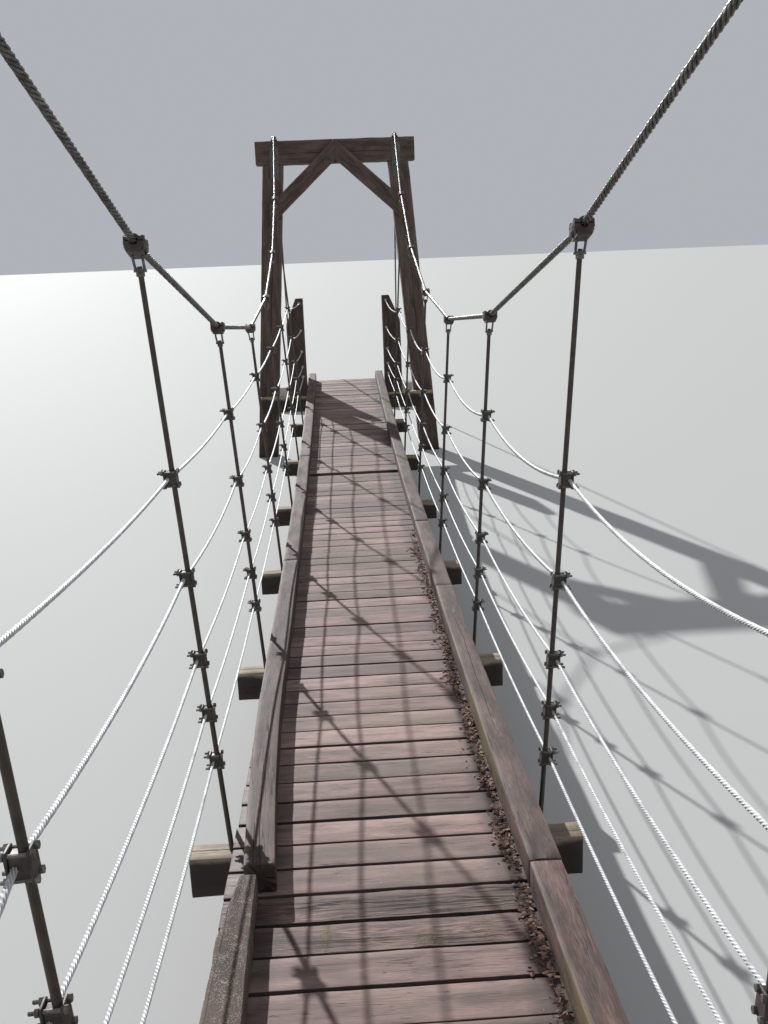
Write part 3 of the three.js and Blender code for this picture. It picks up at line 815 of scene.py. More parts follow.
def addBoards():
    rng = random.Random(11)
    low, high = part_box("deck")
    pitch = (high.y - low.y) / boards["count"]
    stock, brokenStock = Stock(), Stock()
    gaps = [0]
    for k in range(boards["count"] - 1):
        gap = rng.uniform(*boards["gap"])
        gaps.append(gap + (boards["wider"] if rng.random() * boards["wideEvery"] < 1 else 0))
    gaps.append(0)
    for k in range(boards["count"]):
        nearEdge = low.y + k * pitch + gaps[k] / 2
        farEdge = low.y + (k + 1) * pitch - gaps[k + 1] / 2
        lift = -abs(rng.gauss(0, boards["liftWander"]))
        if k == boards["wideJoint"] - 1:
            farEdge -= boards["wideGap"] / 2
        if k == boards["wideJoint"]:
            nearEdge += boards["wideGap"] / 2
            lift = boards["proud"]
        y = (nearEdge + farEdge) / 2
        pitchHere = deckPitch(y)
        z = deckHeight(y) - boards["thick"] / 2 + lift
        xLow = low.x + rng.uniform(*boards["ends"])
        xHigh = high.x - rng.uniform(*boards["ends"])
        # here the worn value holds how rough and worn a board is
        worn = boards["rough"].get(k, 0.0)
        broken = k in boards["broken"]
        look = {
            **boards["look"],
            "step": boards["step"][broken],
            "loss": boards["lossBy"][0] + boards["lossBy"][1] * worn,
            "rough": boards["roughBy"][0] + boards["roughBy"][1] * worn,
            "cup": rng.uniform(*boards["cup"]),
            "tone": boards["tones"].get(k, held(rng.gauss(*boards["toneSpread"]))),
            "age": boardAge(k, rng.uniform(*boards["greySpread"])),
        }
        line = [(xLow, y, z), (0, y, z + rng.uniform(*boards["bend"])), (xHigh, y, z)]
        across = Vector((0, 1, pitchHere)).normalized()
        upward = Vector((0, -pitchHere, 1)).normalized()
        addTimber(brokenStock if broken else stock, line, across, upward,
                  (farEdge - nearEdge, boards["thick"]), look, rng)
    stock.piece("deck_boards", boardWood, "stained_timber", ["deck"])
    brokenStock.piece("deck_boards_broken", brokenWood, "weathered_timber", ["deck"])


def boardAge(number, grey):
    moss = boards["mossy"].get(number, 0.0)
    clumps = boards["clumps"].get(number, ())

    def strip(x, middle, half):
        return max(0.0, 1 - abs(x - middle) / half)

    def age(mark, u, v):
        # dirt gathers along both curbs, most by the right one
        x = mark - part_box("deck")[1].x
        byRight = strip(x, *boards["dirt"]["right"])
        byLeft = strip(x, *boards["dirt"]["left"])
        # board ends out beyond the curbs are painted dark, as painted shade
        shadedOutside = 0.5 if abs(x) > boards["shadedOutside"] else 0.0
        trodden = max(0.0, 1 - (x / boards["trodden"]) ** 2)
        tufts = sum(thick * math.exp(-((x - at) / long) ** 2) for at, long, thick in clumps)
        return (moss * (0.75 + 0.25 * x / 0.4) + tufts + 0.10 * byRight, grey + 0.08 * trodden,
                0.16 + 0.5 * byRight + 0.25 * byLeft + shadedOutside - 0.06 * trodden)
    return age


addBoards()
print("boards laid")


# curbs, laid end to end along the deck's edges
curbs = {
    "usual": {"width": 0.089, "height": 0.089, "inner": 0.365, "edge": 0.004},
    "left": [
        {"from": -6.495, "to": -3.695, "width": 0.091, "height": 0.082, "inner": 0.352, "grey": 0.55,
         "edge": 0.007, "taper": {"inner": 0.013, "innerRun": 0.60, "outer": 0.030, "outerRun": 0.28}},
        {"from": -3.665, "to": -0.515, "width": 0.087, "grey": 0.15, "flare": 0.048, "ragged": 0.010,
         # the low tone of this timber is a painted shadow
         "tone": 0.12,
         "checks": [crack(0, 0.56, 0.0016, 0.010, -0.2, 0.95, fade=0.5, drift=0.020),
                    crack(0, 0.28, 0.0016, 0.010, -0.2, 0.24)]},
        {"from": -0.505, "to": 2.415, "grey": 0.22, "tone": 0.3},
        {"from": 2.425, "to": 6.495, "grey": 0.18},
    ],
    "right": [
        {"from": -6.495, "to": -3.7325, "width": 0.086, "grey": 0.12, "mossy": (-5.6, -3.7)},
        {"from": -3.7285, "to": -1.1225, "grey": 0.16, "mossy": (-3.8, -2.0),
         "checks": [crack(0, 0.55, 0.002, 0.008, 0.9, 2.2, drift=0.014)]},
        {"from": -1.1175, "to": 0.2375, "height": 0.087, "grey": 0.20},
        {"from": 0.2425, "to": 6.495, "grey": 0.18},
    ],
    "flareRun": 1.45,
    "bow": 0.003,
    "oldGrey": 0.5,           # a timber greyer than this is an old one
    "look": {"step": 0.045, "spacing": 0.0115, "lossGrain": 7.0},
    "loss": (0.0018, 0.005),  # worn off a sound timber and off an old one
    "rough": (0.0008, 0.0020),
    "toneSpread": (0.35, 0.75),
    "mossEase": 0.5,
}


def addCurb(side, sign):
    rng = random.Random(23 if sign > 0 else 29)
    stock, oldStock = Stock(), Stock()
    for own in curbs[side]:
        part = {**curbs["usual"], **own}
        bow = rng.uniform(-curbs["bow"], curbs["bow"])
        line = []
        for k in range(61):
            share = k / 60
            y = part["from"] + (part["to"] - part["from"]) * share
            inward = part.get("flare", 0.0) * max(0.0, 1 - (y - part["from"]) / curbs["flareRun"]) ** 2
            x = part["inner"] + part["width"] / 2 - inward + bow * math.sin(math.pi * share)
            line.append((sign * x, y, deckHeight(y) + part["height"] / 2 + span["touch"]))
        old = part["grey"] > curbs["oldGrey"]
        look = {
            **curbs["look"],
            "edge": part["edge"],
            "loss": curbs["loss"][old],
            "rough": curbs["rough"][old],
            "tone": part.get("tone", rng.uniform(*curbs["toneSpread"])),
            "pith": (rng.uniform(-0.03, 0.03), rng.uniform(-0.06, -0.02)),
            "age": curbAge(sign, part),
            "checks": part.get("checks", ()),
        }
        if "ragged" in part:
            look["ragged"] = part["ragged"]
        if "taper" in part:
            look["narrow"] = curbTaper(sign, part)
        addTimber(oldStock if old else stock, line, -xWay, zWay, (part["width"], part["height"]), look, rng)
    stock.piece(f"curb_timbers_{side}", curbWood, "stained_timber", [f"curb_{side}"])
    if oldStock.count:
        oldStock.piece(f"curb_old_timber_{side}", greyWood, "weathered_timber", [f"curb_{side}"])


def curbAge(sign, part):
    def age(mark, u, v):
        # moss creeps up the inner face and over its edge, dirt lies along its foot
        inner = max(0.0, sign * u / part["width"] * 2)
        low = max(0.0, 0.5 - v / part["height"])
        first, last = part.get("mossy", (0.0, 0.0))
        spot = part["from"] + mark
        ease = held(min((spot - first) / curbs["mossEase"], (last - spot) / curbs["mossEase"]))
        broken = 0.16 * noise.noise((spot * 5.0, v * 30, 4.0))
        moss = 0.10 * inner ** 2 + ease * max(0.0, inner - 0.66) / 0.34 * (0.48 + broken - 0.16 * low)
        return (moss, part["grey"], 0.10 + 0.35 * low * inner)
    return age


def curbTaper(sign, part):
    # the far end is cut back on the inner side and more on the outer
    length = part["to"] - part["from"]
    half = part["width"] / 2
    cut = part["taper"]

    def narrow(mark):
        left = length - mark
        inner = half - cut["inner"] * held(1 - left / cut["innerRun"])
        outer = half - cut["outer"] * held(1 - left / cut["outerRun"])
        return (-inner, outer) if sign < 0 else (-outer, inner)
    return narrow


# flakes of dry dirt, which gather along the right curb
dirt = {
    "count": 2800,
    "from": -5.0,
    "to": 0.4,
    "heaps": (-4.62, -4.40, -3.95, -3.45, -3.05, -2.62, -2.20, -1.85, -1.45, -1.05, -0.60, -0.15),
    "heapSpread": 0.10,
    "heaped": 0.80,           # the share that lies in the heaps
    "heapRise": 0.010,        # at the curb's foot, down to nothing where the heap ends
    "heapReach": 0.045,
    "reach": 0.075,           # out from the curb's foot
    "spread": 0.36,           # how far the flakes lie out, as shares of the reach
    "farthest": 1.3,
    "flake": (0.0018, 0.0080),
    "long": (1.0, 2.3),
    "tilt": 0.45,
    "toneSpread": (0.42, 0.32),
    "corners": 6,
}


def addDirt():
    rng = random.Random(57)
    foot = curbs["usual"]["inner"]
    corners = dirt["corners"]
    stock = Stock()
    for _ in range(dirt["count"]):
        if rng.random() < dirt["heaped"]:
            y = rng.gauss(rng.choice(dirt["heaps"]), dirt["heapSpread"])
        else:
            y = rng.uniform(dirt["from"], dirt["to"])
        drawn = min(abs(rng.gauss(0, dirt["spread"])), dirt["farthest"])
        away = drawn * dirt["reach"] * (0.7 + 0.5 * noise.noise((0, y * 3.0, 2.0)))
        size = rng.uniform(*dirt["flake"])
        x = foot - 0.002 - size - away
        heap = max(0.0, 1 - away / dirt["heapReach"]) * rng.uniform(0, dirt["heapRise"])
        centre = Vector((x, y, deckHeight(y) + size * 0.25 + heap))
        spin = Matrix.Rotation(rng.uniform(0, 6.28), 3, "Z")
        tilt = spin @ Matrix.Rotation(rng.gauss(0, dirt["tilt"]), 3, "X")
        long = rng.uniform(*dirt["long"])
        points = [centre + tilt @ Vector((0, 0, size * rng.uniform(0.10, 0.30)))]
        for k in range(corners):
            turn = 2 * math.pi * k / corners
            r = size * rng.uniform(0.45, 1.15)
            curl = rng.uniform(-0.25, 0.25) * size
            points.append(centre + tilt @ Vector((r * long * math.cos(turn), r * math.sin(turn), curl)))
        points.append(centre - tilt @ Vector((0, 0, size * 0.12)))
        faces = [(0, 1 + k, 1 + (k + 1) % corners) for k in range(corners)]
        faces += [(corners + 1, 1 + (k + 1) % corners, 1 + k) for k in range(corners)]
        stock.add(points, faces, tone=held(rng.gauss(*dirt["toneSpread"])))
    stock.piece("deck_dirt", dryDirt, "weathered_timber", sharp=20)


for sideName, sign in sides.items():
    addCurb(sideName, sign)
addDirt()
print("curbs laid")


# stringers, cross-beams and the beams at the deck's ends
under = {
    "stringer": {"edge": 0.004, "step": 0.1, "spacing": 0.03, "loss": 0.002, "rough": 0.0008,
                 "age": (0.05, 0.1, 0.4)},
    "beam": {"edge": 0.004, "step": 0.03, "spacing": 0.02, "loss": 0.0035, "rough": 0.0012},
    "beamTone": (0.3, 0.9),
    "beamChecks": [crack(0, 0.45, 0.0035, 0.012, -0.2, 0.30),
                   crack(0, 0.62, 0.003, 0.010, 0.98, 1.5),
                   crack(3, 0.40, 0.003, 0.008, -0.2, 0.36)],
}


def addStringer(side, sign):
    rng = random.Random(37 if sign > 0 else 41)
    low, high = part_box(f"stringer_{side}")
    top = -boards["thick"] - span["touch"]
    bottom = -span["underBoards"]
    stock = Stock()
    line = []
    for k in range(121):
        y = low.y + (high.y - low.y) * k / 120
        line.append(((low.x + high.x) / 2, y, deckHeight(y) + (top + bottom) / 2))
    addTimber(stock, line, -xWay, zWay, (high.x - low.x, top - bottom), under["stringer"], rng)
    stock.piece(f"stringer_timber_{side}", darkWood, "dark_timber", [f"stringer_{side}"])


def addBeam(node, name, rng, checks):
    low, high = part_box(node)
    middle = (low + high) / 2
    stock = Stock()
    line = [(low.x, middle.y, middle.z), (high.x, middle.y, middle.z)]
    look = {**under["beam"], "age": beamAge(high.z - low.z), "checks": checks,
            "tone": rng.uniform(*under["beamTone"])}
    addTimber(stock, line, yWay, zWay, (high.y - low.y, high.z - low.z), look, rng)
    stock.piece(name, beamWood, "weathered_timber", [node])


def beamAge(height):
    def age(mark, u, v):
        # the tops bleach and grow moss; the faces are painted near-black with the beam's damp colour, which
        # is painted shade
        top = max(0.0, v / height * 2)
        return (0.16 * top, 0.25 * top, 0.75 - 0.75 * top ** 2)
    return age


beamSeeds = random.Random(43)
for sideName, sign in sides.items():
    addStringer(sideName, sign)
for i in hangers:
    addBeam(f"cross_beam_{i}", f"cross_beam_timber_{i}", random.Random(100 + i), under["beamChecks"])
for endName in ends:
    seed = beamSeeds.randint(0, 999)
    addBeam(f"{endName}_end_beam", f"{endName}_end_beam_timber", random.Random(seed), ())
print("under-deck timbers made")


# portals
portal = {
    "brace": {"width": 0.172, "crown": 0.147, "footX": 0.80, "angle": math.radians(42)},
    "deckX": 0.935,
    "topX": 0.73,
    "postWidth": 0.24,
    "postTone": (0.3, 0.7),
    "braceTone": (0.35, 0.8),
    "postLook": {
        "edge": 0.007, "step": 0.06, "spacing": 0.03, "loss": 0.004, "rough": 0.0014,
        "pith": (0.01, 0.015),
        "checks": [
            crack(0, 0.44, 0.005, 0.03, 0.35, 2.2, fade=0.5, drift=0.02),
            crack(2, 0.55, 0.005, 0.03, 1.1, 3.1, fade=0.5, drift=0.02),
            crack(1, 0.5, 0.004, 0.02, 0.9, 2.6, fade=0.4, drift=0.015),
            crack(3, 0.4, 0.004, 0.02, 0.2, 1.5, fade=0.4, drift=0.015),
        ],
    },
    "headerLook": {
        "edge": 0.007, "step": 0.045, "spacing": 0.03, "loss": 0.005, "rough": 0.0016,
        "pith": (-0.02, 0.03), "age": (0.05, 0.16, 0.2), "tone": 0.45,
        "checks": [
            crack(1, 0.55, 0.005, 0.025, 0.25, 1.5, fade=0.3),
            crack(3, 0.42, 0.005, 0.025, -0.2, 1.1, fade=0.3),
            crack(0, 0.5, 0.006, 0.02, 0.5, 2.1, fade=0.3),
        ],
    },
    "braceLook": {
        "edge": 0.004, "step": 0.045, "spacing": 0.03, "loss": 0.003, "rough": 0.0010,
        "pith": (-0.03, 0.09), "age": (0.03, 0.14, 0.15),
        "checks": [
            crack(0, 0.45, 0.003, 0.012, -0.2, 0.34),
            crack(2, 0.45, 0.003, 0.012, 0.8, 1.4),
        ],
    },
    "strap": {"width": 0.10, "height": 0.37, "thick": 0.005, "corner": 0.006, "edge": 0.0012,
              "out": 0.008, "up": 0.015},
    "strapBolts": ((0.018, -0.15), (-0.018, -0.06), (0.018, 0.08), (-0.018, 0.155)),   # across and up
    "strapBolt": {"head": 0.0095, "washer": 0.015, "rise": 0.007},
    "braceBolts": ((0.075, -0.035), (0.15, 0.045), (0.70, 0.05), (0.755, -0.045)),     # out and up
    "bolt": {"head": 0.012, "washer": 0.018, "rise": 0.009},
}


def addBolt(stock, place, axis, bolt):
    # a washer with a hexagon head on it
    r = bolt["washer"]
    h = bolt["head"]
    rise = bolt["rise"]
    thick = 0.0034
    addTurned(stock, place, axis, [(r * 0.94, 0), (r, 0.0008), (r, 0.0026), (r * 0.94, thick)], 20)
    base = Vector(place) + Vector(axis) * thick
    addTurned(stock, base, axis, [(h * 0.97, 0), (h, 0.001), (h, rise * 0.8), (h * 0.86, rise)], 6)


def postTimber(end, side, sign):
    rng = random.Random(f"post {end} {side}")
    low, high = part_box(f"{end}_post_{side}")
    y = (low.y + high.y) / 2
    batter = (portal["deckX"] - portal["topX"]) / (high.z - span["deckAtPortal"])
    footX = portal["deckX"] + batter * span["deckAtPortal"]
    stock = Stock()
    look = {**portal["postLook"], "tone": rng.uniform(*portal["postTone"]), "age": postAge(high.z)}
    line = [(sign * footX, y, 0), (sign * portal["topX"], y, high.z)]
    addTimber(stock, line, xWay, yWay, (portal["postWidth"], high.y - low.y), look, rng)
    stock.piece(f"{end}_post_timber_{side}", portalWood, "stained_timber", [f"{end}_post_{side}"])


def postAge(height):
    def age(mark, u, v):
        # damp and green near the ground, greyer towards the top
        foot = max(0.0, 1 - mark / 0.7)
        return (0.02 + 0.22 * foot, 0.05 + 0.12 * mark / height, 0.15 + 0.5 * foot)
    return age


def headerTimber(end):
    rng = random.Random(f"header {end}")
    low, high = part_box(f"{end}_header")
    middle = (low + high) / 2
    stock = Stock()
    line = [(low.x, middle.y, middle.z), (high.x, middle.y, middle.z)]
    addTimber(stock, line, yWay, zWay, (high.y - low.y, high.z - low.z), portal["headerLook"], rng)
    stock.piece(f"{end}_header_timber", portalWood, "stained_timber", [f"{end}_header"])


def braceTimber(end, side, sign):
    rng = random.Random(f"brace {end} {side}")
    low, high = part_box(f"{end}_knee_brace_{side}")
    brace = portal["brace"]
    y = (low.y + high.y) / 2
    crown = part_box(f"{end}_post_{side}")[1].z + brace["crown"]
    stock = Stock()
    look = {**portal["braceLook"], "tone": rng.uniform(*portal["braceTone"])}
    x0 = sign * span["touch"]
    x1 = sign * brace["footX"]
    line = [(x0, y, crown), (x1, y, crown - brace["footX"] * math.tan(brace["angle"]))]
    size = (brace["width"] / math.cos(brace["angle"]), high.y - low.y)
    addTimber(stock, line, zWay, yWay, size, look, rng)
    stock.piece(f"{end}_knee_brace_plank_{side}", portalWood, "stained_timber",
                [f"{end}_knee_brace_{side}"])


def portalFittings(end, direction):
    # bolts through the braces, and a strap plate on each post's head under the cable
    stock, straps = Stock(), Stock()
    brace = portal["brace"]
    strap = portal["strap"]
    inward = Vector((0, -direction, 0))
    a = xWay * -direction
    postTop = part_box(f"{end}_post_right")[1].z
    crown = postTop + brace["crown"]
    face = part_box(f"{end}_header")[0 if direction > 0 else 1].y
    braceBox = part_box(f"{end}_knee_brace_right")
    braceFace = braceBox[0 if direction > 0 else 1].y
    outline = roundedBox(strap["width"], strap["height"], strap["corner"])
    for sign in sides.values():
        for x, up in portal["braceBolts"]:
            place = Vector((sign * x, braceFace, crown - x * math.tan(brace["angle"]) + up))
            addBolt(stock, place, inward, portal["bolt"])
        x = sign * span["cableSaddleX"]
        centre = Vector((x + sign * strap["out"], face, postTop + strap["up"]))
        addPlate(straps, outline, centre, a, inward.cross(a), strap["thick"], strap["edge"])
        for dx, dz in portal["strapBolts"]:
            place = centre + Vector((dx, 0, dz)) + inward * strap["thick"]
            addBolt(straps, place, inward, portal["strapBolt"])
    stock.piece(f"{end}_brace_bolts", fittingSteel, "dark_steel")
    straps.piece(f"{end}_strap_plates", plateSteel, "dark_steel")


for endName, direction in ends.items():
    headerTimber(endName)
    for sideName, sign in sides.items():
        postTimber(endName, sideName, sign)
        braceTimber(endName, sideName, sign)
    portalFittings(endName, direction)
print("portals framed")


# posts at the deck's ends, which hold the ropes
railPost = {
    "topWidth": 0.089,
    "shoulder": 0.30,
    "tone": (0.4, 0.8),
    "look": {
        "edge": 0.005, "step": 0.04, "spacing": 0.02, "loss": 0.004, "rough": 0.0012,
        "age": (0.06, 0.16, 0.25),
        "checks": [
            crack(0, 0.62, 0.004, 0.02, 0.5, 1.3, drift=0.01),
            crack(2, 0.35, 0.004, 0.02, 0.3, 1.0, drift=0.01),
        ],
    },
}


def addRailPost(end, side, sign):
    rng = random.Random(f"rail post {end} {side}")
    low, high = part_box(f"{end}_rail_post_{side}")
    width = high.x - low.x
    height = high.z - low.z
    stock = Stock()

    def narrow(mark):
        # the outer side slopes in above the shoulder
        over = max(0.0, (mark - height) / railPost["shoulder"] + 1)
        outer = width / 2 - over * (width - railPost["topWidth"])
        return (-width / 2, outer) if sign > 0 else (-outer, width / 2)

    look = {**railPost["look"], "tone": rng.uniform(*railPost["tone"]), "narrow": narrow}
    x = (low.x + high.x) / 2
    y = (low.y + high.y) / 2
    addTimber(stock, [(x, y, low.z), (x, y, high.z)], xWay, yWay, (width, high.y - low.y), look, rng)
    stock.piece(f"{end}_rail_post_timber_{side}", darkWood, "dark_timber", [f"{end}_rail_post_{side}"])


for endName in ends:
    for sideName, sign in sides.items():
        addRailPost(endName, sideName, sign)
print("rail posts set")


# main cables and the shoes that carry them over the headers
cable = {
    "radius": 0.011,
    "strands": 6,
    "perStrand": 4,
    "lay": 0.143,
    "steps": 8,
    "saddleR": 0.17,
    "phase": 0.4,
    "backstay": math.radians(42),
    "anchorX": 0.85,
    "anchorRun": 3.9,
    "grip": 0.042,            # straight stretch each side of a clamp's middle
}
saddle = {
    "width": 0.07,
    "bedR": 0.1587,
    "cheek": 0.011,
    "shelf": 0.009,
    "play": 0.001,
    "endEase": 0.003,
    "bolts": [(x, y) for y in (-0.078, 0.078) for x in (-0.028, 0.028)],
    "bolt": {"head": 0.007, "washer": 0.0095, "rise": 0.006},
    "keepers": (-0.022, 0.022),
    "keeper": 0.005,
    "keeperOut": 0.011,
    "keeperFoot": 0.004,
    "keeperNut": [(0.0098, 0), (0.0098, 0.007), (0.0085, 0.0082)],
}
halfSpan = span["bay"] * span["bays"] / 2


def archSpot(sign, angle):
    centre = Vector((sign * span["cableSaddleX"], halfSpan, span["cableTop"] - cable["saddleR"]))
    return centre + Vector((0, math.sin(angle), math.cos(angle))) * cable["saddleR"]


def cableRoute(sign):
    # half of the route, from mid-span to the far anchor; the near half mirrors it
    half = [Vector((sign * span["cableMidX"], 0, cableZ(span["bays"] / 2)))]
    for i in range(span["bays"] // 2, span["bays"]):
        slope = cableSlope(i)
        along = Vector((0, 1, slope)).normalized() * cable["grip"]
        middle = Vector((sign * cableX(i), stationY(i), cableZ(i)))
        if i > span["bays"] // 2:
            half.append(middle - along)
        half.append(middle + along)
    rise = math.atan(cableSlope(span["bays"] - 0.5))
    for k in range(13):
        half.append(archSpot(sign, -rise + (rise + cable["backstay"]) * k / 12))
    foot = Vector((sign * cable["anchorX"], halfSpan + cable["anchorRun"], 0))
    foot.z = half[-1].z - (foot.y - half[-1].y) * math.tan(cable["backstay"])
    half.append(foot)
    near = [Vector((p.x, -p.y, p.z)) for p in reversed(half[1:])]
    return near + half[1:], foot


def addMainCable(side, sign):
    stock = Stock()
    addRope(stock, cableRoute(sign)[0], cable, cable["phase"] * sign)
    stock.piece(f"main_cable_rope_{side}", cableSteel, "wire_rope", [f"main_cable_{side}"], sharp=80)


def addLoft(stock, rings, worn=None):
    # skins a stack of rings, each of the same number of points, and closes both ends
    rings = np.asarray(rings, float)
    stock.add(rings.reshape(-1, 3), closedFaces(*rings.shape[:2]), worn=worn)


def addSaddle(end, side):
    # a bed curved along the cable, with a groove between two cheeks, held down by a keeper
    low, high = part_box(f"{end}_saddle_{side}")
    middle = (low + high) / 2
    half = saddle["width"] / 2
    groove = cable["radius"] + saddle["play"]
    stock = Stock()
    rings = []
    stations = 22
    for k in range(stations + 1):
        y = low.y + (high.y - low.y) * k / stations
        away = y - middle.y
        bed = span["cableTop"] - cable["saddleR"] + math.sqrt(saddle["bedR"] ** 2 - away ** 2)
        ease = saddle["endEase"] if k in (0, stations) else 0.0
        cheek = bed + saddle["cheek"] - ease
        shelf = min(low.z + saddle["shelf"], bed) - ease
        section = [(half - ease, low.z + ease), (half - ease, shelf), (groove + 0.013, shelf + 0.0015),
                   (groove + 0.006, cheek), (groove + 0.001, cheek)]
        for step in range(5):
            turn = math.radians(-10 - 160 * step / 4)
            section.append((groove * math.cos(turn), bed + groove + groove * math.sin(turn)))
        section += [(-x, z) for x, z in reversed(section[:5])]
        rings.append([(middle.x - x, y, z) for x, z in section])
    addLoft(stock, rings)
    stock.piece(f"{end}_saddle_shoe_{side}", fittingSteel, "dark_steel", [f"{end}_saddle_{side}"], sharp=30)

    bright = Stock()
    for x, y in saddle["bolts"]:
        addBolt(bright, (middle.x + x, middle.y + y, low.z + saddle["shelf"]), zWay, saddle["bolt"])
    reach = groove + saddle["keeperOut"]
    bend = reach * 0.55
    top = high.z + groove * 2 - 0.003
    foot = low.z + saddle["keeperFoot"]
    for y in saddle["keepers"]:
        path = [(middle.x - reach, middle.y + y, foot)]
        for step in range(9):
            turn = math.pi - math.pi * step / 8
            path.append((middle.x + reach * math.cos(turn), middle.y + y,
                         top - bend + bend * math.sin(turn)))
        path.append((middle.x + reach, middle.y + y, foot))
        addTube(bright, path, saddle["keeper"], 8)
        for x in (-reach, reach):
            addTurned(bright, (middle.x + x, middle.y + y, low.z + saddle["shelf"]), zWay,
                      saddle["keeperNut"], 6)
    bright.piece(f"{end}_saddle_bolts_{side}", boltSteel, "dark_steel")


for sideName, sign in sides.items():
    addMainCable(sideName, sign)
    for endName in ends:
        addSaddle(endName, sideName)
print("main cables hung")


# anchor blocks, cast in boards, with the plate and socket that hold each cable
anchor = {
    "chamfer": 0.012,
    "boardHeight": 0.12,
    "boardMarks": ((-0.004, 0.0), (0.0, 0.0028), (0.004, 0.0006)),   # height and depth of a board's joint
    "marks": 18,
    "markGap": 0.008,
    "foot": ((0.0, 0.004), (0.006, 0.0)),
    "loss": (0.0012, 0.0016),
    "cuts": (10, 8),          # in a side across the bridge, and in one along it
    "plate": 0.17,
    "plateThick": 0.012,
    "plateCorner": 0.012,
    "plateEdge": 0.0015,
    "sunk": 0.0005,
    "socket": [(0.034, 0.012), (0.034, 0.018), (0.030, 0.020), (0.028, 0.030), (0.0165, 0.105),
               (0.0150, 0.112), (0.0118, 0.113)],
    "nuts": 0.06,
    "nut": {"head": 0.012, "washer": 0.019, "rise": 0.010},
}


def blockRing(box, z, inset, frontY, direction):
    # a level cut through the block, its front corner following the sloping face
    low, high = box
    backY = high.y if direction > 0 else low.y
    corner = anchor["chamfer"]
    y0, y1 = sorted((frontY + direction * inset, backY - direction * inset))
    x0 = low.x + inset
    x1 = high.x - inset
    outline = []
    for x, y, start in ((x1, y1, 0), (x0, y1, 90), (x0, y0, 180), (x1, y0, 270)):
        cx = x - corner * (1 if x == x1 else -1)
        cy = y - corner * (1 if y == y1 else -1)
        for k in range(3):
            turn = math.radians(start) + math.pi / 4 * k
            outline.append((cx + corner * math.cos(turn), cy + corner * math.sin(turn)))
    ring = []
    for k, p in enumerate(outline):
        q = outline[(k + 1) % len(outline)]
        cuts = 1
        if math.dist(p, q) > corner:
            cuts = anchor["cuts"][0 if k % 6 == 2 else 1]
        for n in range(cuts):
            ring.append((p[0] + (q[0] - p[0]) * n / cuts, p[1] + (q[1] - p[1]) * n / cuts, z))
    return ring


def addAnchor(end, direction, side, sign):
    node = f"{end}_anchor_block_{side}"
    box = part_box(node)
    low, high = box
    foot = cableRoute(sign)[1]
    foot = Vector((foot.x, direction * foot.y, foot.z))
    toeY = low.y if direction > 0 else high.y
    lean = math.tan(cable["backstay"])
    joints = [anchor["boardHeight"] * k for k in (1, 2)]
    marks = []
    for k in range(1, anchor["marks"]):
        z = high.z * k / anchor["marks"]
        if min(abs(joint - z) for joint in joints) > anchor["markGap"]:
            marks.append((z, 0.0))
    for joint in joints:
        marks += [(joint + up, inset) for up, inset in anchor["boardMarks"]]
    marks = [*anchor["foot"], *sorted(marks), (high.z - anchor["chamfer"], 0.0),
             (high.z, anchor["chamfer"])]
    points = np.array([blockRing(box, z, inset, toeY + direction * z * lean, direction)
                       for z, inset in marks])
    shape = points.shape
    flat = points.reshape(-1, 3)
    out = flat - flat.mean(axis=0)
    out /= np.linalg.norm(out, axis=1)[:, None]
    flat = flat - out * (anchor["loss"][0] + anchor["loss"][1] * ripple(flat, 9.0, 3.0))[:, None]
    flat[:, 2] = np.maximum(flat[:, 2], 0.0)
    stock = Stock()
    worn = np.zeros(len(flat))
    worn[-shape[1]:] = 1.0
    addLoft(stock, flat.reshape(shape), worn)
    stock.piece(f"{end}_anchor_concrete_{side}", castConcrete, "concrete", [node], sharp=50)

    # the plate lies on the sloping face, square to the cable
    steel = Stock()
    out = Vector((0, -direction * math.cos(cable["backstay"]), math.sin(cable["backstay"])))
    a = xWay * (1 if direction > 0 else -1)
    b = out.cross(a)
    base = foot - out * anchor["sunk"]
    outline = roundedBox(anchor["plate"], anchor["plate"], anchor["plateCorner"])
    addPlate(steel, outline, base, a, b, anchor["plateThick"], anchor["plateEdge"])
    addTurned(steel, base, out, anchor["socket"], 24)
    steel.piece(f"{end}_anchor_plate_{side}", fittingSteel, "dark_steel")
    bright = Stock()
    for p in (-anchor["nuts"], anchor["nuts"]):
        for q in (-anchor["nuts"], anchor["nuts"]):
            place = base + a * p + b * q + out * anchor["plateThick"]
            addBolt(bright, place, out, anchor["nut"])
    bright.piece(f"{end}_anchor_nuts_{side}", boltSteel, "dark_steel")


for endName, direction in ends.items():
    for sideName, sign in sides.items():
        addAnchor(endName, direction, sideName, sign)
print("anchors cast")


# rope rails: five ropes a side, rods that hang the deck, clips where they cross
rails = {
    "radii": (0.0062, 0.0062, 0.0054, 0.0050, 0.0050),   # from the top rope down
    "strands": 6,
    "perStrand": 2,
    "lay": 0.072,
    "steps": 8,
    "phase": 0.7,
    "rodRadius": 0.008,
    "levels": {"left": (1.095, 0.790, 0.530, 0.350, 0.190), "right": (1.035, 0.720, 0.465, 0.295, 0.135)},
    "endLevels": (0.960, 0.640, 0.390, 0.210, 0.090),
    "slack": {"left": (0.018, 0.030, 0.024, 0.020, 0.016), "right": (0.062, 0.040, 0.030, 0.024, 0.016)},
}
ropeEnd = {                       # each is turned from (radius, height) pairs
    "washer": [(0.0150, 0), (0.0160, 0.0006), (0.0160, 0.0024), (0.0150, 0.003)],
    "collar": [(0.0095, 0.002), (0.0095, 0.0105), (0.0085, 0.0115)],
    "ferrule": [(0.0078, 0.010), (0.0082, 0.012), (0.0080, 0.044), (0.0066, 0.050), (0.0056, 0.051)],
    "behind": 0.0892,             # from the post's face to the washer behind it
    "nut": [(0.0098, 0.003), (0.0098, 0.011), (0.0086, 0.012)],
    "stud": [(0.0052, 0.011), (0.0052, 0.020), (0.0042, 0.022)],
}
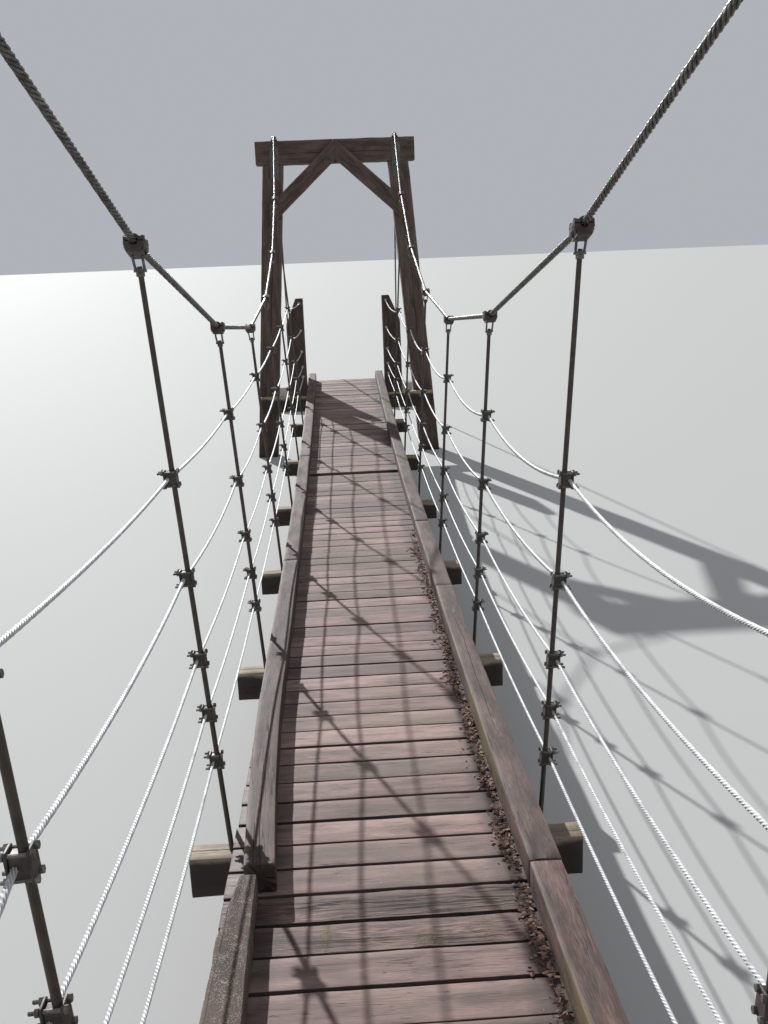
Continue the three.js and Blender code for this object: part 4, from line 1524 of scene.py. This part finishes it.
rod = {
    "threads": 18,
    "pitch": 0.0018,
    "threadFrom": 0.0012,
    "headThreads": (0.012, 0.011, 0.010, 0.009, 0.008),   # down from the rod's top, crest and root in turn
    "crest": 0.99,
    "root": 0.88,
    "tip": 0.86,
    "plain": 0.05,                # plain from here up, and as far from the top
    "intoBar": 0.016,
    "tail": 0.016,
    "plate": 0.07,
    "plateThick": 0.006,
    "plateCorner": 0.004,
    "washer": (0.0170, 0.0025),
    "nut": 0.014,
}
clip = {
    "plate": (0.036, 0.054, 0.005),
    "corner": 0.006,
    "plateEdge": 0.0012,
    "core": (0.027, 0.042, 0.003),   # the block between the plates, along the bridge and up; its corners
    "coreEdge": 0.0008,
    "bolts": (0.0120, 0.0200),    # from the crossing, along the bridge and up
    "bolt": 0.0036,
    "head": (0.0072, 0.0055),
    "nut": (0.0072, 0.0068),
    "tail": 0.010,
    "play": 0.0002,
}
clamp = {
    "half": 0.028,
    "flange": 0.0185,
    "length": 0.076,
    "edge": 0.0014,
    "bore": 0.0116,
    "shell": 0.0195,
    "base": 0.032,
    "baseHalf": 0.0205,
    "bolts": [(x, y) for x in (-0.0235, 0.0235) for y in (-0.023, 0.023)],
    "boltParts": (                # from the cable, up or down, and the (radius, height) pairs
        (0.0108, 1, [(0.0062, 0), (0.0062, 0.0045), (0.0054, 0.0056)], 6),
        (0.0118, -1, [(0.0062, 0), (0.0062, 0.0050), (0.0054, 0.0060)], 6),
        (0.0175, -1, [(0.0032, 0), (0.0032, 0.006), (0.0026, 0.007)], 8)),
    "leg": 0.0040,
    "legTop": 0.0140,
    "legFoot": 0.0124,
    "legSunk": 0.006,
    "crossbar": (0.036, 0.018, 0.009),
    "crossbarCorner": 0.006,
    "barNut": [(0.0122, 0), (0.0128, 0.001), (0.0128, 0.0105), (0.0112, 0.012)],
    "drop": 0.076,                # from the cable down to the crossbar's underside
}


def ropeLine(level, side, sign):
    reach = rails["rodRadius"] + rails["radii"][level]
    knots = []
    for i in range(span["bays"] + 1):
        knots.append(hangerPoint(i, sign, deckZ(i) + rails["levels"][side][level]) + xWay * sign * reach)
    for i, end in ((0, "near"), (span["bays"], "far")):
        low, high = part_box(f"{end}_rail_post_{side}")
        face = high.y if end == "near" else low.y
        inner = min(abs(low.x), abs(high.x))
        knots[i] = Vector((sign * (inner + railPost["topWidth"] / 2), face,
                           span["deckAtPortal"] + rails["endLevels"][level]))
    slack = rails["slack"][side][level]
    line = []
    pieces = 16
    for bay in range(span["bays"]):
        for step in range(pieces):
            t = step / pieces
            point = knots[bay].lerp(knots[bay + 1], t)
            point.z -= 4 * slack * t * (1 - t)
            line.append(point)
    return line + [knots[-1]]


def addRopeEnds(stock, line):
    # a washer and ferrule on the face of each rail post, a stud and nut behind it
    for spot, after, direction in ((line[0], line[1], 1), (line[-1], line[-2], -1)):
        along = (after - spot).normalized()
        face = Vector((0, direction, 0))
        back = spot - face * ropeEnd["behind"]
        for place, way, label, around in (
                (spot, face, "washer", 20), (spot, along, "collar", 6), (spot, along, "ferrule", 16),
                (back, -face, "washer", 20), (back, -face, "nut", 6), (back, -face, "stud", 12)):
            addTurned(stock, place, way, ropeEnd[label], around)


def addClip(plates, bolts, i, sign, level):
    # a block round the rod and the rope, between two plates with four bolts past both
    height = deckZ(i) + rails["levels"]["right" if sign > 0 else "left"][level]
    middle = hangerPoint(i, sign, height)
    up = (hangerPoint(i, sign, height + 0.1) - middle).normalized()
    along = yWay * sign
    out = along.cross(up)
    width, tall, thick = clip["plate"]
    inner = rails["rodRadius"] + clip["play"] + thick
    outer = rails["rodRadius"] + 2 * rails["radii"][level] + clip["play"]
    outline = roundedBox(width, tall, clip["corner"])
    for seat in (-inner, outer):
        addPlate(plates, outline, middle + out * seat, along, up, thick, clip["plateEdge"])
    addPlate(plates, roundedBox(*clip["core"]), middle - out * (inner - thick), along, up,
             inner + outer - thick, clip["coreEdge"])
    r = clip["bolt"]
    shank = inner + outer + thick + clip["nut"][1] + clip["tail"]
    for alongShift in (-clip["bolts"][0], clip["bolts"][0]):
        for upShift in (-clip["bolts"][1], clip["bolts"][1]):
            start = middle + along * alongShift + up * upShift - out * inner
            nutAt = start + out * (inner + outer + thick)
            for seat, way, (wide, high) in ((start, -out, clip["head"]), (nutAt, out, clip["nut"])):
                addTurned(bolts, seat, way, [(wide, 0), (wide, high - 0.0008), (wide * 0.86, high)], 6)
            addTurned(bolts, start, out, [(r, 0), (r, shank - 0.0006), (r * 0.8, shank)], 8)


def addClamp(blocks, bolts, i, sign):
    # two halves bolted round the cable, and a stirrup under them that takes the rod
    slope = math.atan(cableSlope(i))
    centre = Vector((sign * cableX(i), stationY(i), cableZ(i)))
    along = Vector((0, math.cos(slope), math.sin(slope)))
    up = Vector((0, -math.sin(slope), math.cos(slope)))
    start = centre + along * (clamp["length"] / 2)
    half = clamp["half"]
    flange = clamp["flange"]
    low = clamp["baseHalf"]

    def arc(radius, first, last):
        steps = 6
        turns = [math.radians(first + (last - first) * k / steps) for k in range(steps + 1)]
        return [(radius * math.cos(t), radius * math.sin(t)) for t in turns]

    upper = [(half, 0.001), (half, 0.0105), (flange, 0.0115), *arc(clamp["shell"], 38, 142),
             (-flange, 0.0115), (-half, 0.0105), (-half, 0.001), *arc(clamp["bore"], 175, 5)]
    lower = [(-half, -0.001), (-half, -0.0115), (-low, -0.0185), (-low, -clamp["base"]),
             (low, -clamp["base"]), (low, -0.0185), (half, -0.0115), (half, -0.001),
             *arc(clamp["bore"], -5, -175)]
    for outline in (upper, lower):
        addPlate(blocks, outline, start, xWay, up, clamp["length"], clamp["edge"])
    for x, y in clamp["bolts"]:
        place = centre + xWay * x + along * y
        for away, way, profile, around in clamp["boltParts"]:
            addTurned(bolts, place + up * (away * way), up * way, profile, around)

    barX, barY, barZ = clamp["crossbar"]
    below = hangerPoint(i, sign, centre.z - clamp["drop"])
    addPlate(bolts, roundedBox(barX, barY, clamp["crossbarCorner"]), below, xWay, yWay, barZ, 0.001)
    for flip in (-1, 1):
        top = centre + xWay * flip * clamp["legTop"] - zWay * (clamp["base"] - clamp["legSunk"])
        foot = below + xWay * flip * clamp["legFoot"]
        path = [top, top.lerp(foot, 0.5), foot + zWay * barZ, foot + zWay * 0.002]
        addTube(bolts, path, clamp["leg"], 10)
    addTurned(bolts, below - zWay * 0.0002, -zWay, clamp["barNut"], 6)


def addRod(rods, feet, i, sign):
    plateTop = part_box(f"cross_beam_{i}")[0].z - span["touch"]
    nutTop = plateTop - rod["plateThick"]
    low = hangerPoint(i, sign, nutTop - rod["nut"] - rod["tail"])
    high = hangerPoint(i, sign, cableZ(i) - clamp["drop"] + rod["intoBar"])
    axis = (high - low).normalized()
    length = (high - low).length
    r = rails["rodRadius"]
    crest, root, tip = r * rod["crest"], r * rod["root"], r * rod["tip"]
    profile = [(tip, 0)]
    for k in range(rod["threads"]):
        profile += [(crest, rod["threadFrom"] + rod["pitch"] * k),
                    (root, rod["threadFrom"] + rod["pitch"] * (k + 0.5))]
    profile += [(r, rod["threadFrom"] + rod["pitch"] * rod["threads"])]
    steps = max(2, round(length / 0.25))
    profile += [(r, rod["plain"] + (length - 2 * rod["plain"]) * k / steps) for k in range(steps + 1)]
    profile += [(root if k % 2 else crest, length - down) for k, down in enumerate(rod["headThreads"])]
    profile += [(tip, length)]
    addTurned(rods, low, axis, profile, 12)

    base = hangerPoint(i, sign, plateTop) - zWay * rod["plateThick"]
    outline = roundedBox(rod["plate"], rod["plate"], rod["plateCorner"])
    addPlate(feet, outline, base, xWay, yWay, rod["plateThick"], 0.001)
    nutAt = hangerPoint(i, sign, nutTop)
    wide, thick = rod["washer"]
    addTurned(feet, nutAt, -zWay, [(wide, 0), (wide, thick)], 20)
    tall = rod["nut"] - thick
    addTurned(feet, nutAt - zWay * thick, -axis,
              [(0.0132, 0), (0.0140, 0.001), (0.0140, tall - 0.001), (0.0130, tall)], 6)


def addRopeRail(side, sign):
    node = f"rope_rail_{side}"
    ropes, rods, feet = Stock(), Stock(), Stock()
    fittings, plates, clipBolts, blocks, clampBolts = Stock(), Stock(), Stock(), Stock(), Stock()
    for level in range(len(rails["endLevels"])):
        line = ropeLine(level, side, sign)
        addRope(ropes, line, {**rails, "radius": rails["radii"][level]}, rails["phase"] * level)
        addRopeEnds(fittings, line)
    for i in hangers:
        addRod(rods, feet, i, sign)
        addClamp(blocks, clampBolts, i, sign)
        for level in range(len(rails["endLevels"])):
            addClip(plates, clipBolts, i, sign, level)
    ropes.piece(f"ropes_{side}", ropeSteel, "wire_rope", [node], sharp=80)
    rods.piece(f"hanger_rods_{side}", rodSteel, "wire_rope", [node])
    feet.piece(f"hanger_feet_{side}", fittingSteel, "wire_rope", [node])
    fittings.piece(f"rope_ends_{side}", boltSteel, "wire_rope", [node])
    plates.piece(f"rope_clip_plates_{side}", fittingSteel, "wire_rope", [node])
    clipBolts.piece(f"rope_clip_bolts_{side}", clipSteel, "wire_rope", [node])
    blocks.piece(f"cable_clamps_{side}", fittingSteel, "wire_rope", [node])
    clampBolts.piece(f"cable_clamp_stirrups_{side}", clipSteel, "wire_rope", [node])


for sideName, sign in sides.items():
    addRopeRail(sideName, sign)
print("rope rails hung")


# floor, light and camera
studio = {
    "floorSize": 1600,
    "floorColour": (0.42, 0.42, 0.41),
    "skyColour": (0.80, 0.84, 0.90),
    "skyStrength": 0.54,
    "key": {"way": (0.68, -1.76, -1.0), "strength": 5.8, "angle": math.radians(0.7)},
    "fill": {"way": (-0.3, 0.8, -0.9), "strength": 0.22, "angle": math.radians(40)},
}
view = {
    "lens": 35.50,
    "place": (-0.078, -6.097, 2.383),
    "pitch": math.radians(14.268),
    "yaw": math.radians(2.211),
    "roll": math.radians(-2.302),
}


def setStudio():
    half = studio["floorSize"] / 2
    mesh = bpy.data.meshes.new("floor")
    mesh.from_pydata([(-half, -half, 0), (half, -half, 0), (half, half, 0), (-half, half, 0)], [],
                     [(0, 1, 2, 3)])
    material, tree, shader = openMaterial("pale floor", Roughness=0.85, Specular_IOR_Level=0.2)
    feed(tree, shader.inputs["Base Color"], studio["floorColour"])
    mesh.materials.append(material)
    floor = bpy.data.objects.new("floor", mesh)
    bpy.context.scene.collection.objects.link(floor)

    world = bpy.data.worlds.new("pale sky")
    world.use_nodes = True
    background = world.node_tree.nodes["Background"]
    background.inputs["Color"].default_value = (*studio["skyColour"], 1)
    background.inputs["Strength"].default_value = studio["skyStrength"]
    bpy.context.scene.world = world

    for name in ("key", "fill"):
        lamp = bpy.data.lights.new(name, "SUN")
        lamp.energy = studio[name]["strength"]
        lamp.angle = studio[name]["angle"]
        holder = bpy.data.objects.new(name, lamp)
        way = Vector(studio[name]["way"])
        holder.rotation_euler = way.to_track_quat("-Z", "Y").to_euler()
        holder.location = way * -6
        bpy.context.scene.collection.objects.link(holder)
    bpy.context.scene.view_settings.view_transform = "Standard"


def setCamera():
    pitch, yaw, roll = view["pitch"], view["yaw"], view["roll"]
    ahead = Vector((math.sin(yaw) * math.cos(pitch), math.cos(yaw) * math.cos(pitch), -math.sin(pitch)))
    level = Vector((math.cos(yaw), -math.sin(yaw), 0))
    upright = level.cross(ahead)
    right = math.cos(roll) * level + math.sin(roll) * upright
    up = math.cos(roll) * upright - math.sin(roll) * level
    lens = bpy.data.cameras.new("camera")
    lens.sensor_width = 36
    lens.lens = view["lens"]
    lens.clip_start = 0.05
    lens.clip_end = 500
    camera = bpy.data.objects.new("camera", lens)
    turn = Matrix((right, up, -ahead)).transposed().to_4x4()
    camera.matrix_world = Matrix.Translation(view["place"]) @ turn
    bpy.context.scene.collection.objects.link(camera)
    bpy.context.scene.camera = camera


setStudio()
setCamera()
